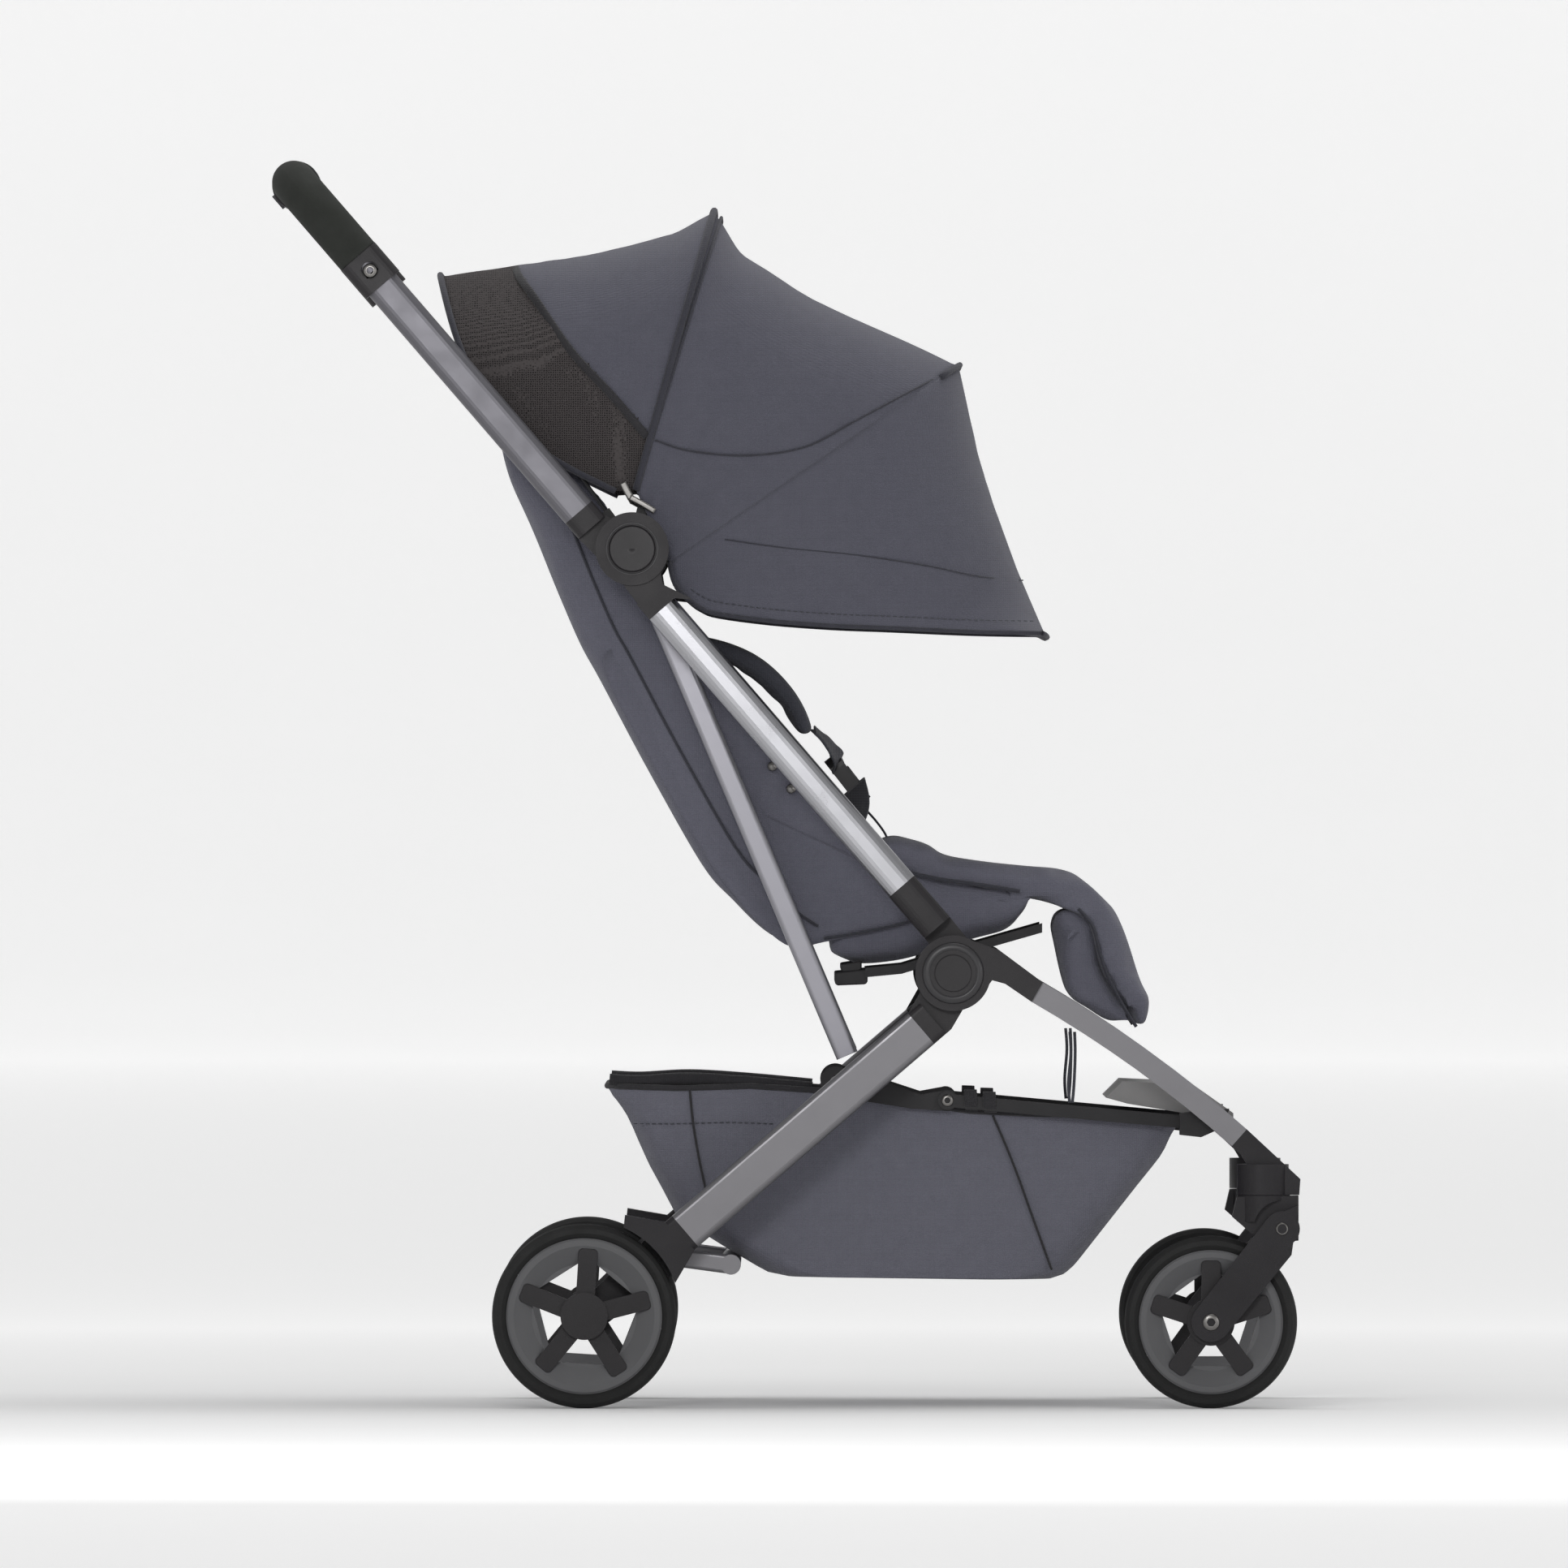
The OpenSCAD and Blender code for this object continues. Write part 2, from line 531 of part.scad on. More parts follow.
// Hub of the front leg: the outer disc of the lower hinge and its arm to the leg tube
front_arm = [[12, 29], [39, 19.5], [40, 18], [44, -9], [33, -6], [30, -10]];
module front_hubs() color(plastic) pair() {
    top = on_front(0, front_depth / 2);
    bottom = on_front(0, -front_depth / 2);
    difference() {
        union() {
            across_rod(low_hinge, front_leaf, low_disc_r);
            slab(front_leaf) polygon([low_hinge + front_arm[0], low_hinge + front_arm[1], top, bottom,
                low_hinge + front_arm[3], low_hinge + front_arm[4], low_hinge + front_arm[5], low_hinge]);
            slab(tube_y) polygon([low_hinge + front_arm[2], top, bottom, low_hinge + front_arm[3]]);
        }
        across_rod(low_hinge, [front_leaf.x - 1, front_leaf.y - 2.9], pin_r + run_gap);
        across_rod(low_hinge, [front_leaf.y - 2, front_leaf.y + 1], low_disc_r - 6);
    }
}
module lower_hinge_caps() color(plastic) pair() turned(low_hinge)
    polygon([[0, front_leaf.y - 1.9], [low_disc_r - 6.2, front_leaf.y - 1.9], [low_disc_r - 6.2,
        front_leaf.y + 1],
        [low_disc_r - 12, low_cap.y - 0.8], [low_disc_r - 16, low_cap.y - 0.8], [low_disc_r - 17,
            low_cap.y], [0, low_cap.y]]);

// Housing at the lower end of the front leg, with the socket of the swivel stem
block_top = front_axle.y + 107;
stem_r = 7;
housing_r = 17;
nose = 31.66;
module caster_housings() color(plastic) pair() difference() {
    union() {
        slab(tube_y) polygon([on_front(1, front_depth / 2), [swivel_x + nose, block_top + 14],
            [swivel_x + nose - 1, block_top + 0.5], [swivel_x + 2, block_top + 0.5], [swivel_x - 18,
                block_top + 34],
            on_front(1, -front_depth / 2)]);
        translate([swivel_x, tube_mid, block_top + 0.5]) cylinder(r = housing_r + 5, h = 26);
    }
    translate([swivel_x, tube_mid, block_top - 1]) cylinder(r = stem_r + run_gap, h = 24);
}
// Brackets under the front legs that hold the rails' front ends and the footrest
module rail_brackets() color(plastic) pair() {
    slab([rail_y.y + 0.6, tube_y.x]) polygon([rail_front + [-10, -10], rail_front + [8, -12],
        rail_front + [26, -4],
        rail_front + [32, 12], rail_front + [14, 12], rail_front + [-10, 8]]);
    across_rod(rail_front, [rail_y.x - 2, rail_y.y + 0.7], 3.5);
}
foot_half = 150;
foot_board = [[-72, 21], [-58, 35], [2, 32], [36, 8], [36, 2], [6, 6], [-54, 16]];
module footrest() color(board) {
    slab([-foot_half, foot_half]) polygon([for (p = foot_board) rail_front + p]);
    pair() across_rod(rail_front + [24, 9], [foot_half - 1, rail_y.y + 0.5], 5);
}

// Swivel block with its stem, and the pin that the sprung fork turns on
fork_out = [wheel_y + tyre_w / 2 + 1.2, wheel_y + tyre_w / 2 + 7];
fork_in = [wheel_y - tyre_w / 2 - 8, wheel_y - tyre_w / 2 - 1.2];
block_y = [fork_in.y + 0.5, fork_out.x - 0.5];
module caster_block(s) color(plastic) side(s) {
    difference() {
        union() {
            translate([swivel_x, tube_mid, block_top - 22]) cylinder(r = housing_r + 5, h = 22);
            slab(block_y) polygon([[swivel_x - 22, block_top - 1], [swivel_x + 30, block_top],
                [swivel_x + 30, block_top - 12], fork_pivot + [14, -10], fork_pivot + [-4, -12],
                [swivel_x - 10, block_top - 32], [swivel_x - 26, block_top - 18]]);
            translate([swivel_x, tube_mid, block_top - 1]) cylinder(r = stem_r, h = 23);
        }
        slab([fork_in.x - 20, fork_in.y + 0.5]) circle_at(fork_pivot, 24);
        slab([fork_out.x - 0.5, fork_out.y + 20]) circle_at(fork_pivot, 24);
        across_rod(front_axle, [fork_in.x - 9, fork_out.y + 9], front_wheel_d / 2 + 3);
    }
    across_rod(fork_pivot, [fork_in.x - 2, fork_out.y + 2], 4);
}
module circle_at(p, r) translate(p) circle(r = r);
module fork(s) color(plastic) side(s) {
    difference() {
        union() for (y = [fork_out, fork_in]) {
            across_rod(front_axle, y, 16.5);
            across_rod(fork_pivot, y, 15);
            slab(y) polygon([front_axle + 16.5 * turn([-1, 0], -38), fork_pivot + 15 * turn([-1, 0], -38),
                fork_pivot + [14, 20], fork_pivot + [8, -22], front_axle + 16.5 * turn([1, 0], -38)]);
        }
        across_rod(fork_pivot, [fork_in.x - 3, fork_out.y + 3], 4 + run_gap);
    }
    across_rod(front_axle, [fork_in.y - 2, fork_out.x + 2], axle_d / 2);
}

// ---- linkage ----

// Back struts, hinged at the mid hinge, with a plastic foot
strut_dir = [cos(strut_angle), -sin(strut_angle)];
module back_struts() color(metal) pair() difference() {
    union() {
        across_rod(mid_hinge, strut_y, 12);
        run(mid_hinge + 8 * strut_dir, mid_hinge + strut_len * strut_dir, (strut_y.x + strut_y.y) / 2)
            polygon(round_rect(strut_w - 0.4, strut_depth, 4));
    }
    across_rod(mid_hinge, [strut_y.x - 1, strut_y.y + 1], pin_r + run_gap);
}
module basket_cranks() color(plastic) pair() difference() {
    union() {
        across_rod(crank_pivot, crank_y, 13);
        across_rod(crank_end, crank_y, 9);
        slab(crank_y) polygon([crank_pivot + [4, 12], crank_end + [-22, 5], crank_end + [0, 9],
            crank_end + [0, -9], crank_end + [-30, -7], crank_pivot + [2, -12.8]]);
    }
    across_rod(crank_pivot, [crank_y.x - 1, crank_y.y + 1], 5 + run_gap);
}
rail_v = rail_front - crank_end;
rail_n = turn(rail_v / norm(rail_v), 90);
module basket_rails() color(plastic) pair() {
    difference() {
        union() {
            across_rod(crank_end, rail_y, 8);
            across_rod(rail_front, rail_y, 8);
            slab(rail_y) polygon([crank_end + rail_h / 2 * rail_n, rail_front + rail_h / 2 * rail_n,
                rail_front - rail_h / 2 * rail_n, crank_end - rail_h / 2 * rail_n]);
        }
        across_rod(rail_front, [rail_y.x - 3, rail_y.y + 1], 3.5 + run_gap);
    }
}

// ---- seat parts that move ----

back_line = [[-249, 822], [-216, 754], [-191, 693], [-171, 647], [-156, 622], [-115, 543], [-67, 459],
    [-42, 431],
    [-18, 406], [8, 386]];
wing_share = [0, 0.62, 0.9, 1, 1, 1, 0.92, 0.7, 0.5, 0.3];
back_normal = [0.87, 0.49];
function seat_point(p) = low_hinge + p - [143, 368];
module backrest() color(cloth) {
    slab([-seat_w / 2 + wing_w, seat_w / 2 - wing_w]) polygon(concat([for (p = back_line) seat_point(p)],
        [seat_point([28, 384]), seat_point([32, 420])],
        [for (i = [8:-1:0]) seat_point(back_line[i] + back_t * back_normal)]));
    pair() slab([seat_w / 2 - wing_w, seat_w / 2]) polygon(concat([for (p = back_line) seat_point(p)],
        [seat_point([28, 384]), seat_point([32, 420]), seat_point([36, 470])],
        [for (i = [7:-1:0])
            seat_point(back_line[i] + lerp(back_t, wing_t, wing_share[i]) * back_normal)]));
}
pad_mid = 48;
pad_line = [[-104, 655], [-59, 650], [-20, 634], [12, 604], [24, 572]];
module harness_pads() color(cloth) pair() slab([pad_mid - pad_w / 2, pad_mid + pad_w / 2])
    polygon(concat([for (p = pad_line) seat_point(p)],
        [seat_point([12, 569]), seat_point([-2, 596]), seat_point([-30, 622]), seat_point([-62, 636]),
        seat_point([-106, 641])]));
legrest_outline = [[224, 415], [231, 400], [244, 350], [292, 317], [309, 315], [310, 338], [301, 357],
    [288, 400],
    [275, 424], [252, 445]];
module legrest() color(cloth) slab([-legrest_w / 2, legrest_w / 2])
    polygon(concat([for (p = legrest_outline) seat_point(p)], arc(legrest_pivot, knee_r, 90, 140, 5)));

// ---- canopy ----

rear_bow = [284, 125];
mid_bow = [295, 76.5];
front_bow = [318, 29.5];
canopy_lip = 8.5;
// A bow: hub on the mid hinge pin, straight arms, round corners and the crown
module bow(polar, y, hub_bore) {
    r = polar.x - canopy_lip - canopy_t - bow_d / 2;
    corner = canopy_corner - 12;
    pair() difference() {
        union() {
            across_rod(mid_hinge, [y - bow_hub_t / 2, y + bow_hub_t / 2], 12);
            slab([y - 1.6, y + 1.6]) polygon([mid_hinge + turn([8, -5], polar.y), mid_hinge + turn([40,
                -4], polar.y),
                mid_hinge + turn([40, 4], polar.y), mid_hinge + turn([8, 5], polar.y)]);
        }
        across_rod(mid_hinge, [y - 4, y + 4], hub_bore);
    }
    translate([mid_hinge.x, 0, mid_hinge.y]) rotate([0, -polar.y, 0]) {
        pair() {
            translate([38, y, 0]) rotate([0, 90, 0]) cylinder(d = bow_d - 2, h = r - corner - 38, $fn = 24);
            translate([r - corner, y - corner, 0]) rotate_extrude(angle = 90, $fn = 48)
                translate([corner, 0]) circle(d = bow_d - 2, $fn = 24);
        }
        translate([r, y - corner, 0]) rotate([90, 0, 0]) cylinder(d = bow_d - 2, h = 2 * (y - corner),
            $fn = 24);
    }
}
module canopy_rear_bow() color(plastic) bow(rear_bow, rear_bow_y, pin_r + run_gap);
module canopy_mid_bow() color(plastic) bow(mid_bow, mid_bow_y, pin_r + run_gap);
module canopy_front_bow() color(plastic) bow(front_bow, front_bow_y, pin_r + run_gap);

function polar_at(b, r = 0) = mid_hinge + (b.x + r) * [cos(b.y), sin(b.y)];
canopy_rim = mid_hinge + [351, -74];
low_edge = [mid_hinge + [31, -11], mid_hinge + [48, -43], mid_hinge + [72, -55], mid_hinge + [117, -61],
    mid_hinge + [220, -67], mid_hinge + [347, -71]];
side_n = 5;
corner_n = 6;
// One section of the canopy: up one side from foot b to top t, round the corner and across to the middle
function section(b, t, w, c) = let (len = norm(t - b), k = min(c, len),
    u = len > 0.1 ? (t - b) / len : [0, 1])
    concat([for (i = [0:side_n]) let (p = b + u * (len - k) * i / side_n) [p.x, w, p.y]],
        [for (i = [1:corner_n]) let (a = 90 * i / corner_n, p = b + u * (len - k + k * sin(a)))
            [p.x, w - c + c * cos(a), p.y]]);
function whole_section(b, t, w, c) = let (s = section(b, t, w, c))
    concat(s, [for (i = [len(s) - 1:-1:0]) [s[i].x, -s[i].y, s[i].z]]);
// A closed thin shell through stations [foot, top], its inner skin one thickness in
module shell(stations, t = canopy_t) {
    n = len(stations);
    half = canopy_w / 2;
    m = 2 * (side_n + 1 + corner_n);
    outer = [for (s = stations) each whole_section(s[0], s[1], half, canopy_corner)];
    inner = [for (s = stations) let (v = s[1] - s[0], u = norm(v) > 0.1 ? v / norm(v) : [0, 1])
        each whole_section(s[0], s[1] - t * s[2], half - t, canopy_corner - t)];
    total = n * m;
    faces = concat(
        [for (i = [0:n - 2], j = [0:m - 2]) each [[i * m + j, i * m + j + 1, (i + 1) * m + j + 1],
            [i * m + j, (i + 1) * m + j + 1, (i + 1) * m + j]]],
        [for (i = [0:n - 2], j = [0:m - 2]) each [[total + i * m + j + 1, total + i * m + j,
            total + (i + 1) * m + j + 1],
            [total + (i + 1) * m + j + 1, total + i * m + j, total + (i + 1) * m + j]]],
        [for (i = [0:n - 2], j = [0, m - 1]) let (a = i * m + j, b = (i + 1) * m + j)
            each j == 0 ? [[a, b, total + b], [a, total + b, total + a]] : [[b, a, total + b], [a,
                total + a, total + b]]],
        [for (j = [0:m - 2], i = [0, n - 1]) let (a = i * m + j, b = i * m + j + 1)
            each i == 0 ? [[b, a, total + b], [a, total + a, total + b]] : [[a, b, total + b], [a,
                total + b, total + a]]]);
    polyhedron(concat(outer, inner), faces);
}
// Stations between two tops with a slight sag, feet running between two points
function stations(b0, b1, t0, t1, sag, n) = [for (i = [0:n]) let (f = i / n, t = lerp(t0, t1, f),
    out = (t - mid_hinge) / norm(t - mid_hinge)) [lerp(b0, b1, f), t - sag * sin(180 * f) * out, out]];
seam_gap = 0.4;
module canopy_rear_panel() color(cloth)
    shell(stations(mid_hinge + [-14, 49], mid_hinge + [2, 50], polar_at(rear_bow), polar_at(mid_bow - [0,
        -seam_gap]), 9, 8));
module canopy_mid_panel() color(cloth)
    shell(stations(mid_hinge + [3, 50], mid_hinge + [30, 10], polar_at(mid_bow - [0, seam_gap]),
        polar_at(front_bow + [0, seam_gap]), 12, 8));
module canopy_visor() color(cloth)
    shell([for (i = [0:5]) let (f = i / 5, t = lerp(polar_at(front_bow - [0, seam_gap]), canopy_rim, f),
        out = (t - mid_hinge) / norm(t - mid_hinge)) [low_edge[i], t, out]], visor_t);

// ---- one line for each node ----

rear_legs();
rear_hinge_ends();
rear_feet();
rear_cross_tube();
frame_pins();
basket();
brake_pedal();
side(-1) rear_tyre();  // rear_tyre_right
side(-1) rear_rim();  // rear_rim_right
side(-1) rear_star();  // rear_star_right
side(1) rear_tyre();  // rear_tyre_left
side(1) rear_rim();  // rear_rim_left
side(1) rear_star();  // rear_star_left
main_tubes();
main_hinge_ends();
mid_hinge_housings();
mid_hinge_caps();
mid_hinge_pins();
seat_rails();
seat_cushion();
canopy_rear_bow();
canopy_rear_panel();
harness_buckle();
buckle_button();
handle_tubes();
handle_hinge_ends();
handle_collars();
handlebar_core();
handle_grip();
control_housing();
fold_slider();
fold_trigger();
front_legs();
front_hubs();
lower_hinge_caps();
caster_housings();
rail_brackets();
footrest();
caster_block(-1);  // caster_block_right
fork(-1);  // fork_right
side(-1) front_tyre();  // front_tyre_right
side(-1) front_rim();  // front_rim_right
side(-1) front_star();  // front_star_right
caster_block(1);  // caster_block_left
fork(1);  // fork_left
side(1) front_tyre();  // front_tyre_left
side(1) front_rim();  // front_rim_left
side(1) front_star();  // front_star_left
back_struts();
basket_cranks();
basket_rails();
backrest();
harness_pads();
legrest();
canopy_mid_bow();
canopy_mid_panel();
canopy_front_bow();
canopy_visor();
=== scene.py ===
# Compact folding baby stroller: the finish, upholstery, canopy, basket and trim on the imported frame.
# Metres throughout: +X is the direction of travel, +Y the rider's left, +Z up.
import json
import math

import bmesh
import bpy
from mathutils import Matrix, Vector, noise


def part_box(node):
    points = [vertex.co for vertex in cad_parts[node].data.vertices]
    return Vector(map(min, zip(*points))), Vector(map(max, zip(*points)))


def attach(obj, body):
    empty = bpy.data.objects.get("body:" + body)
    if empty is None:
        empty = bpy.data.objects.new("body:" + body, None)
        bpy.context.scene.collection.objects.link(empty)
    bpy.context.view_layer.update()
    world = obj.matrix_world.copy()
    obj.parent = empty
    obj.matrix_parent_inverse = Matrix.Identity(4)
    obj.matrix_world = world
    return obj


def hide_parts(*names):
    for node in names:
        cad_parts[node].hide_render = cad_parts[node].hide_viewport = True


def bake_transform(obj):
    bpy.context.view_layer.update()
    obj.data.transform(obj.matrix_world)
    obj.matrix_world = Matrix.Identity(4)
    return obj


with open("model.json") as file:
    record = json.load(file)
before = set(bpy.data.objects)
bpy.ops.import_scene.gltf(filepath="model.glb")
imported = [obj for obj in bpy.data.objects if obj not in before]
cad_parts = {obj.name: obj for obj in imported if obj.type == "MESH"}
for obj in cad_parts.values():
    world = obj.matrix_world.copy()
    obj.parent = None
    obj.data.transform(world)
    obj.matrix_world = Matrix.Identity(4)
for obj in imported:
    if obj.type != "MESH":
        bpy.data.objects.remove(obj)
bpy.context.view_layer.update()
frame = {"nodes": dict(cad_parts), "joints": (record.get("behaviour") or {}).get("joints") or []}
nodes = frame["nodes"]
pivot = {j["name"]: Vector(j["pos_m"]) for j in frame["joints"] if "pos_m" in j}
LOW = pivot["fold"]
MID = pivot["handle_fold"]
RIGHT, LEFT = -1, 1


def seat(x, z, y=0.0):
    """A point of the seat's side drawing, in millimetres, whose lower hinge is at 143, 368."""
    return Vector((LOW.x + (x - 143) / 1000, y, LOW.z + (z - 368) / 1000))


def hood(radius, angle, y=0.0):
    """A point round the mid hinge: radius in metres, angle in degrees above the forward direction."""
    a = math.radians(angle)
    return Vector((MID.x + radius * math.cos(a), y, MID.z + radius * math.sin(a)))


def lerp(a, b, f):
    return a + (b - a) * f


def smoothstep(a, b, x):
    t = min(max((x - a) / (b - a), 0.0), 1.0)
    return t * t * (3 - 2 * t)


def along(points, count, closed=False):
    """Catmull-Rom points through the given ones, evenly many on every span."""
    pts = [Vector(p) for p in points]
    n = len(pts)
    spans = n if closed else n - 1
    out = []
    for i in range(spans):
        if closed:
            a, b, c, d = pts[i - 1], pts[i], pts[(i + 1) % n], pts[(i + 2) % n]
        else:
            a, b, c, d = pts[max(i - 1, 0)], pts[i], pts[i + 1], pts[min(i + 2, n - 1)]
        for k in range(count):
            t = k / count
            out.append(0.5 * (2 * b + (c - a) * t + (2 * a - 5 * b + 4 * c - d) * t * t
                              + (3 * b - a - 3 * c + d) * t ** 3))
    if not closed:
        out.append(pts[-1].copy())
    return out


# ---- finishes ----

def linear(r, g, b):
    def channel(v):
        v /= 255
        return v / 12.92 if v <= 0.04045 else ((v + 0.055) / 1.055) ** 2.4
    return channel(r), channel(g), channel(b), 1.0


class Finish:
    """A node material with one shader and small helpers to wire its detail."""

    def __init__(self, name, colour, rough, **sockets):
        self.material = bpy.data.materials.new(name)
        self.material.use_nodes = True
        self.tree = self.material.node_tree
        self.shader = self.tree.nodes["Principled BSDF"]
        self.colour = colour
        self.shader.inputs["Base Color"].default_value = colour
        self.shader.inputs["Roughness"].default_value = rough
        for socket, value in sockets.items():
            self.shader.inputs[socket.replace("_", " ")].default_value = value
        self.place = self.add("ShaderNodeTexCoord").outputs["Object"]

    def add(self, kind, **values):
        node = self.tree.nodes.new(kind)
        for key, value in values.items():
            if key in node.inputs:
                if isinstance(value, bpy.types.NodeSocket):
                    self.tree.links.new(value, node.inputs[key])
                else:
                    node.inputs[key].default_value = value
            else:
                setattr(node, key, value)
        return node

    def scaled(self, x, y, z):
        return self.add("ShaderNodeMapping", Vector=self.place, Scale=(x, y, z)).outputs["Vector"]

    def grain(self, scale, detail=3.0, place=None, distortion=0.0):
        return self.add("ShaderNodeTexNoise", Vector=place or self.place, Scale=scale, Detail=detail,
                        Distortion=distortion).outputs["Fac"]

    def level(self, value, low, high, out_low, out_high):
        node = self.add("ShaderNodeMapRange", Value=value)
        for key, v in (("From Min", low), ("From Max", high), ("To Min", out_low), ("To Max", out_high)):
            node.inputs[key].default_value = v
        return node.outputs["Result"]

    def sum(self, a, b, kind="ADD"):
        node = self.add("ShaderNodeMath", operation=kind)
        for i, v in enumerate((a, b)):
            if isinstance(v, bpy.types.NodeSocket):
                self.tree.links.new(v, node.inputs[i])
            else:
                node.inputs[i].default_value = v
        return node.outputs["Value"]

    def tint(self, factor, low, high):
        """Base colour between two shares of the finish's colour."""
        ramp = self.add("ShaderNodeValToRGB", Fac=factor)
        for stop, share in zip(ramp.color_ramp.elements, (low, high)):
            stop.color = [min(c * share, 1.0) for c in self.colour[:3]] + [1.0]
        self.tree.links.new(ramp.outputs["Color"], self.shader.inputs["Base Color"])
        return ramp

    def rough(self, factor):
        self.tree.links.new(factor, self.shader.inputs["Roughness"])

    def bump(self, height, depth, strength=1.0, below=None):
        node = self.add("ShaderNodeBump", Height=height, Distance=depth, Strength=strength)
        if below:
            self.tree.links.new(below, node.inputs["Normal"])
        self.tree.links.new(node.outputs["Normal"], self.shader.inputs["Normal"])
        return node.outputs["Normal"]

    def threads(self, pitch, distortion=0.6):
        """Crossed threads of a plain weave, the same whichever way the cloth faces."""
        rows = [self.add("ShaderNodeTexWave", Vector=self.place, wave_type="BANDS", bands_direction=d,
                         Scale=0.314 / pitch, Distortion=distortion, Detail=1.0).outputs["Fac"] for d in "XYZ"]
        return self.sum(self.sum(rows[0], rows[1]), rows[2])


def moulded(name, colour, rough=0.5, texture=0.00012, coat=0.0):
    """Spark-textured moulded plastic, slightly polished where it is handled."""
    f = Finish(name, colour, rough, Coat_Weight=coat, Coat_Roughness=0.35, Specular_IOR_Level=0.28)
    fine = f.grain(1400, 2.0)
    f.tint(f.grain(18, 4.0), 0.86, 1.16)
    f.rough(f.level(f.grain(26, 3.0), 0.3, 0.7, rough - 0.06, rough + 0.08))
    f.bump(fine, texture, 0.8)
    return f.material


def metallic(name, colour, rough, metal, brushed=0.0):
    """Anodised or metallic-painted aluminium with a faint orange peel and handling marks."""
    f = Finish(name, colour, rough, Metallic=metal)
    streaks = f.grain(60, 3.0, f.scaled(1.0, 14.0, 1.0))
    f.tint(f.sum(f.sum(streaks, 0.5, "MULTIPLY"), f.sum(f.grain(2200, 1.0), 0.5, "MULTIPLY")), 0.95, 1.05)
    f.rough(f.level(f.grain(35, 4.0), 0.3, 0.7, rough - 0.04, rough + 0.06))
    f.bump(f.grain(900 if brushed else 420, 1.0), 0.00003, 0.5)
    return f.material


def woven(name, colour, pitch=0.0016, rough=0.86, contrast=0.1):
    """Heathered polyester canvas: mixed yarns, thread relief and a soft sheen."""
    f = Finish(name, colour, rough, Sheen_Weight=0.12, Sheen_Roughness=0.55, Specular_IOR_Level=0.25)
    weave = f.threads(pitch)
    heather = f.sum(f.sum(f.grain(950, 2.0), 0.7, "MULTIPLY"), f.sum(f.grain(90, 3.0), 0.3, "MULTIPLY"))
    f.tint(f.level(heather, 0.32, 0.68, 0.0, 1.0), 1 - contrast, 1 + contrast)
    f.rough(f.level(f.grain(40, 2.0), 0.3, 0.7, rough - 0.05, rough + 0.05))
    soft = f.bump(f.grain(24, 3.0, None, 0.4), 0.0012, 0.35)
    f.bump(weave, 0.00016, 0.9, soft)
    return f.material


def netting(name, thread, hole_shade, pitch=0.0019):
    """Knitted ventilation net: light threads round holes painted near black, as painted shade of the canopy's inside
    seen through them.
    """
    f = Finish(name, thread, 0.8, Specular_IOR_Level=0.2)
    cells = f.add("ShaderNodeTexVoronoi", Vector=f.place, Scale=1 / pitch, Randomness=0.35,
                  feature="DISTANCE_TO_EDGE").outputs["Distance"]
    ramp = f.add("ShaderNodeValToRGB", Fac=cells)
    ramp.color_ramp.elements[0].position, ramp.color_ramp.elements[1].position = 0.1, 0.3
    ramp.color_ramp.elements[0].color, ramp.color_ramp.elements[1].color = thread, hole_shade
    f.tree.links.new(ramp.outputs["Color"], f.shader.inputs["Base Color"])
    f.bump(f.level(cells, 0.0, 0.3, 1.0, 0.0), 0.0004, 0.8)
    return f.material


def rubbery(name, colour, rough, grain, depth):
    f = Finish(name, colour, rough, Specular_IOR_Level=0.3)
    f.tint(f.grain(22, 4.0), 0.85, 1.2)
    f.rough(f.level(f.grain(60, 3.0), 0.3, 0.7, rough - 0.06, rough + 0.05))
    f.bump(f.grain(grain, 2.0), depth, 0.8)
    return f.material


satin_tube = metallic("satin anodised tube", linear(172, 172, 176), 0.3, 1.0, 1.0)
handle_tube = metallic("smoked handle tube", linear(102, 101, 106), 0.42, 0.7)
leg_tube = metallic("warm grey leg tube", linear(118, 117, 120), 0.36, 0.8)
strut_tube = metallic("grey strut tube", linear(138, 137, 143), 0.34, 0.85)
screw_steel = metallic("screw steel", linear(120, 118, 116), 0.3, 1.0)
puller_metal = metallic("cast puller metal", linear(120, 118, 116), 0.34, 1.0)
hinge_plastic = moulded("hinge plastic", linear(38, 36, 38), 0.46, 0.00014)
cap_plastic = moulded("hinge cap plastic", linear(34, 32, 34), 0.42, 0.00008, 0.1)
ring_plastic = moulded("polished cap ring", linear(48, 47, 49), 0.3, 0.00004, 0.2)
wheel_plastic = moulded("wheel star plastic", linear(33, 31, 33), 0.44, 0.0001)
fork_plastic = moulded("fork plastic", linear(30, 28, 31), 0.48, 0.00016)
rail_plastic = moulded("rail plastic", linear(29, 28, 30), 0.45, 0.0001)
button_plastic = moulded("button plastic", linear(72, 71, 74), 0.4, 0.00005)
board_plastic = moulded("footrest plastic", linear(126, 125, 125), 0.5, 0.0001)
rim_paint = metallic("grey wheel rim", linear(80, 80, 82), 0.5, 0.15)
tyre_rubber = rubbery("tyre rubber", linear(29, 29, 29), 0.72, 700, 0.00018)
grip_foam = rubbery("grip foam", linear(38, 40, 37), 0.86, 1500, 0.0003)
canopy_cloth = woven("canopy cloth", linear(78, 78, 88))
seat_cloth = woven("seat cloth", linear(90, 90, 101))
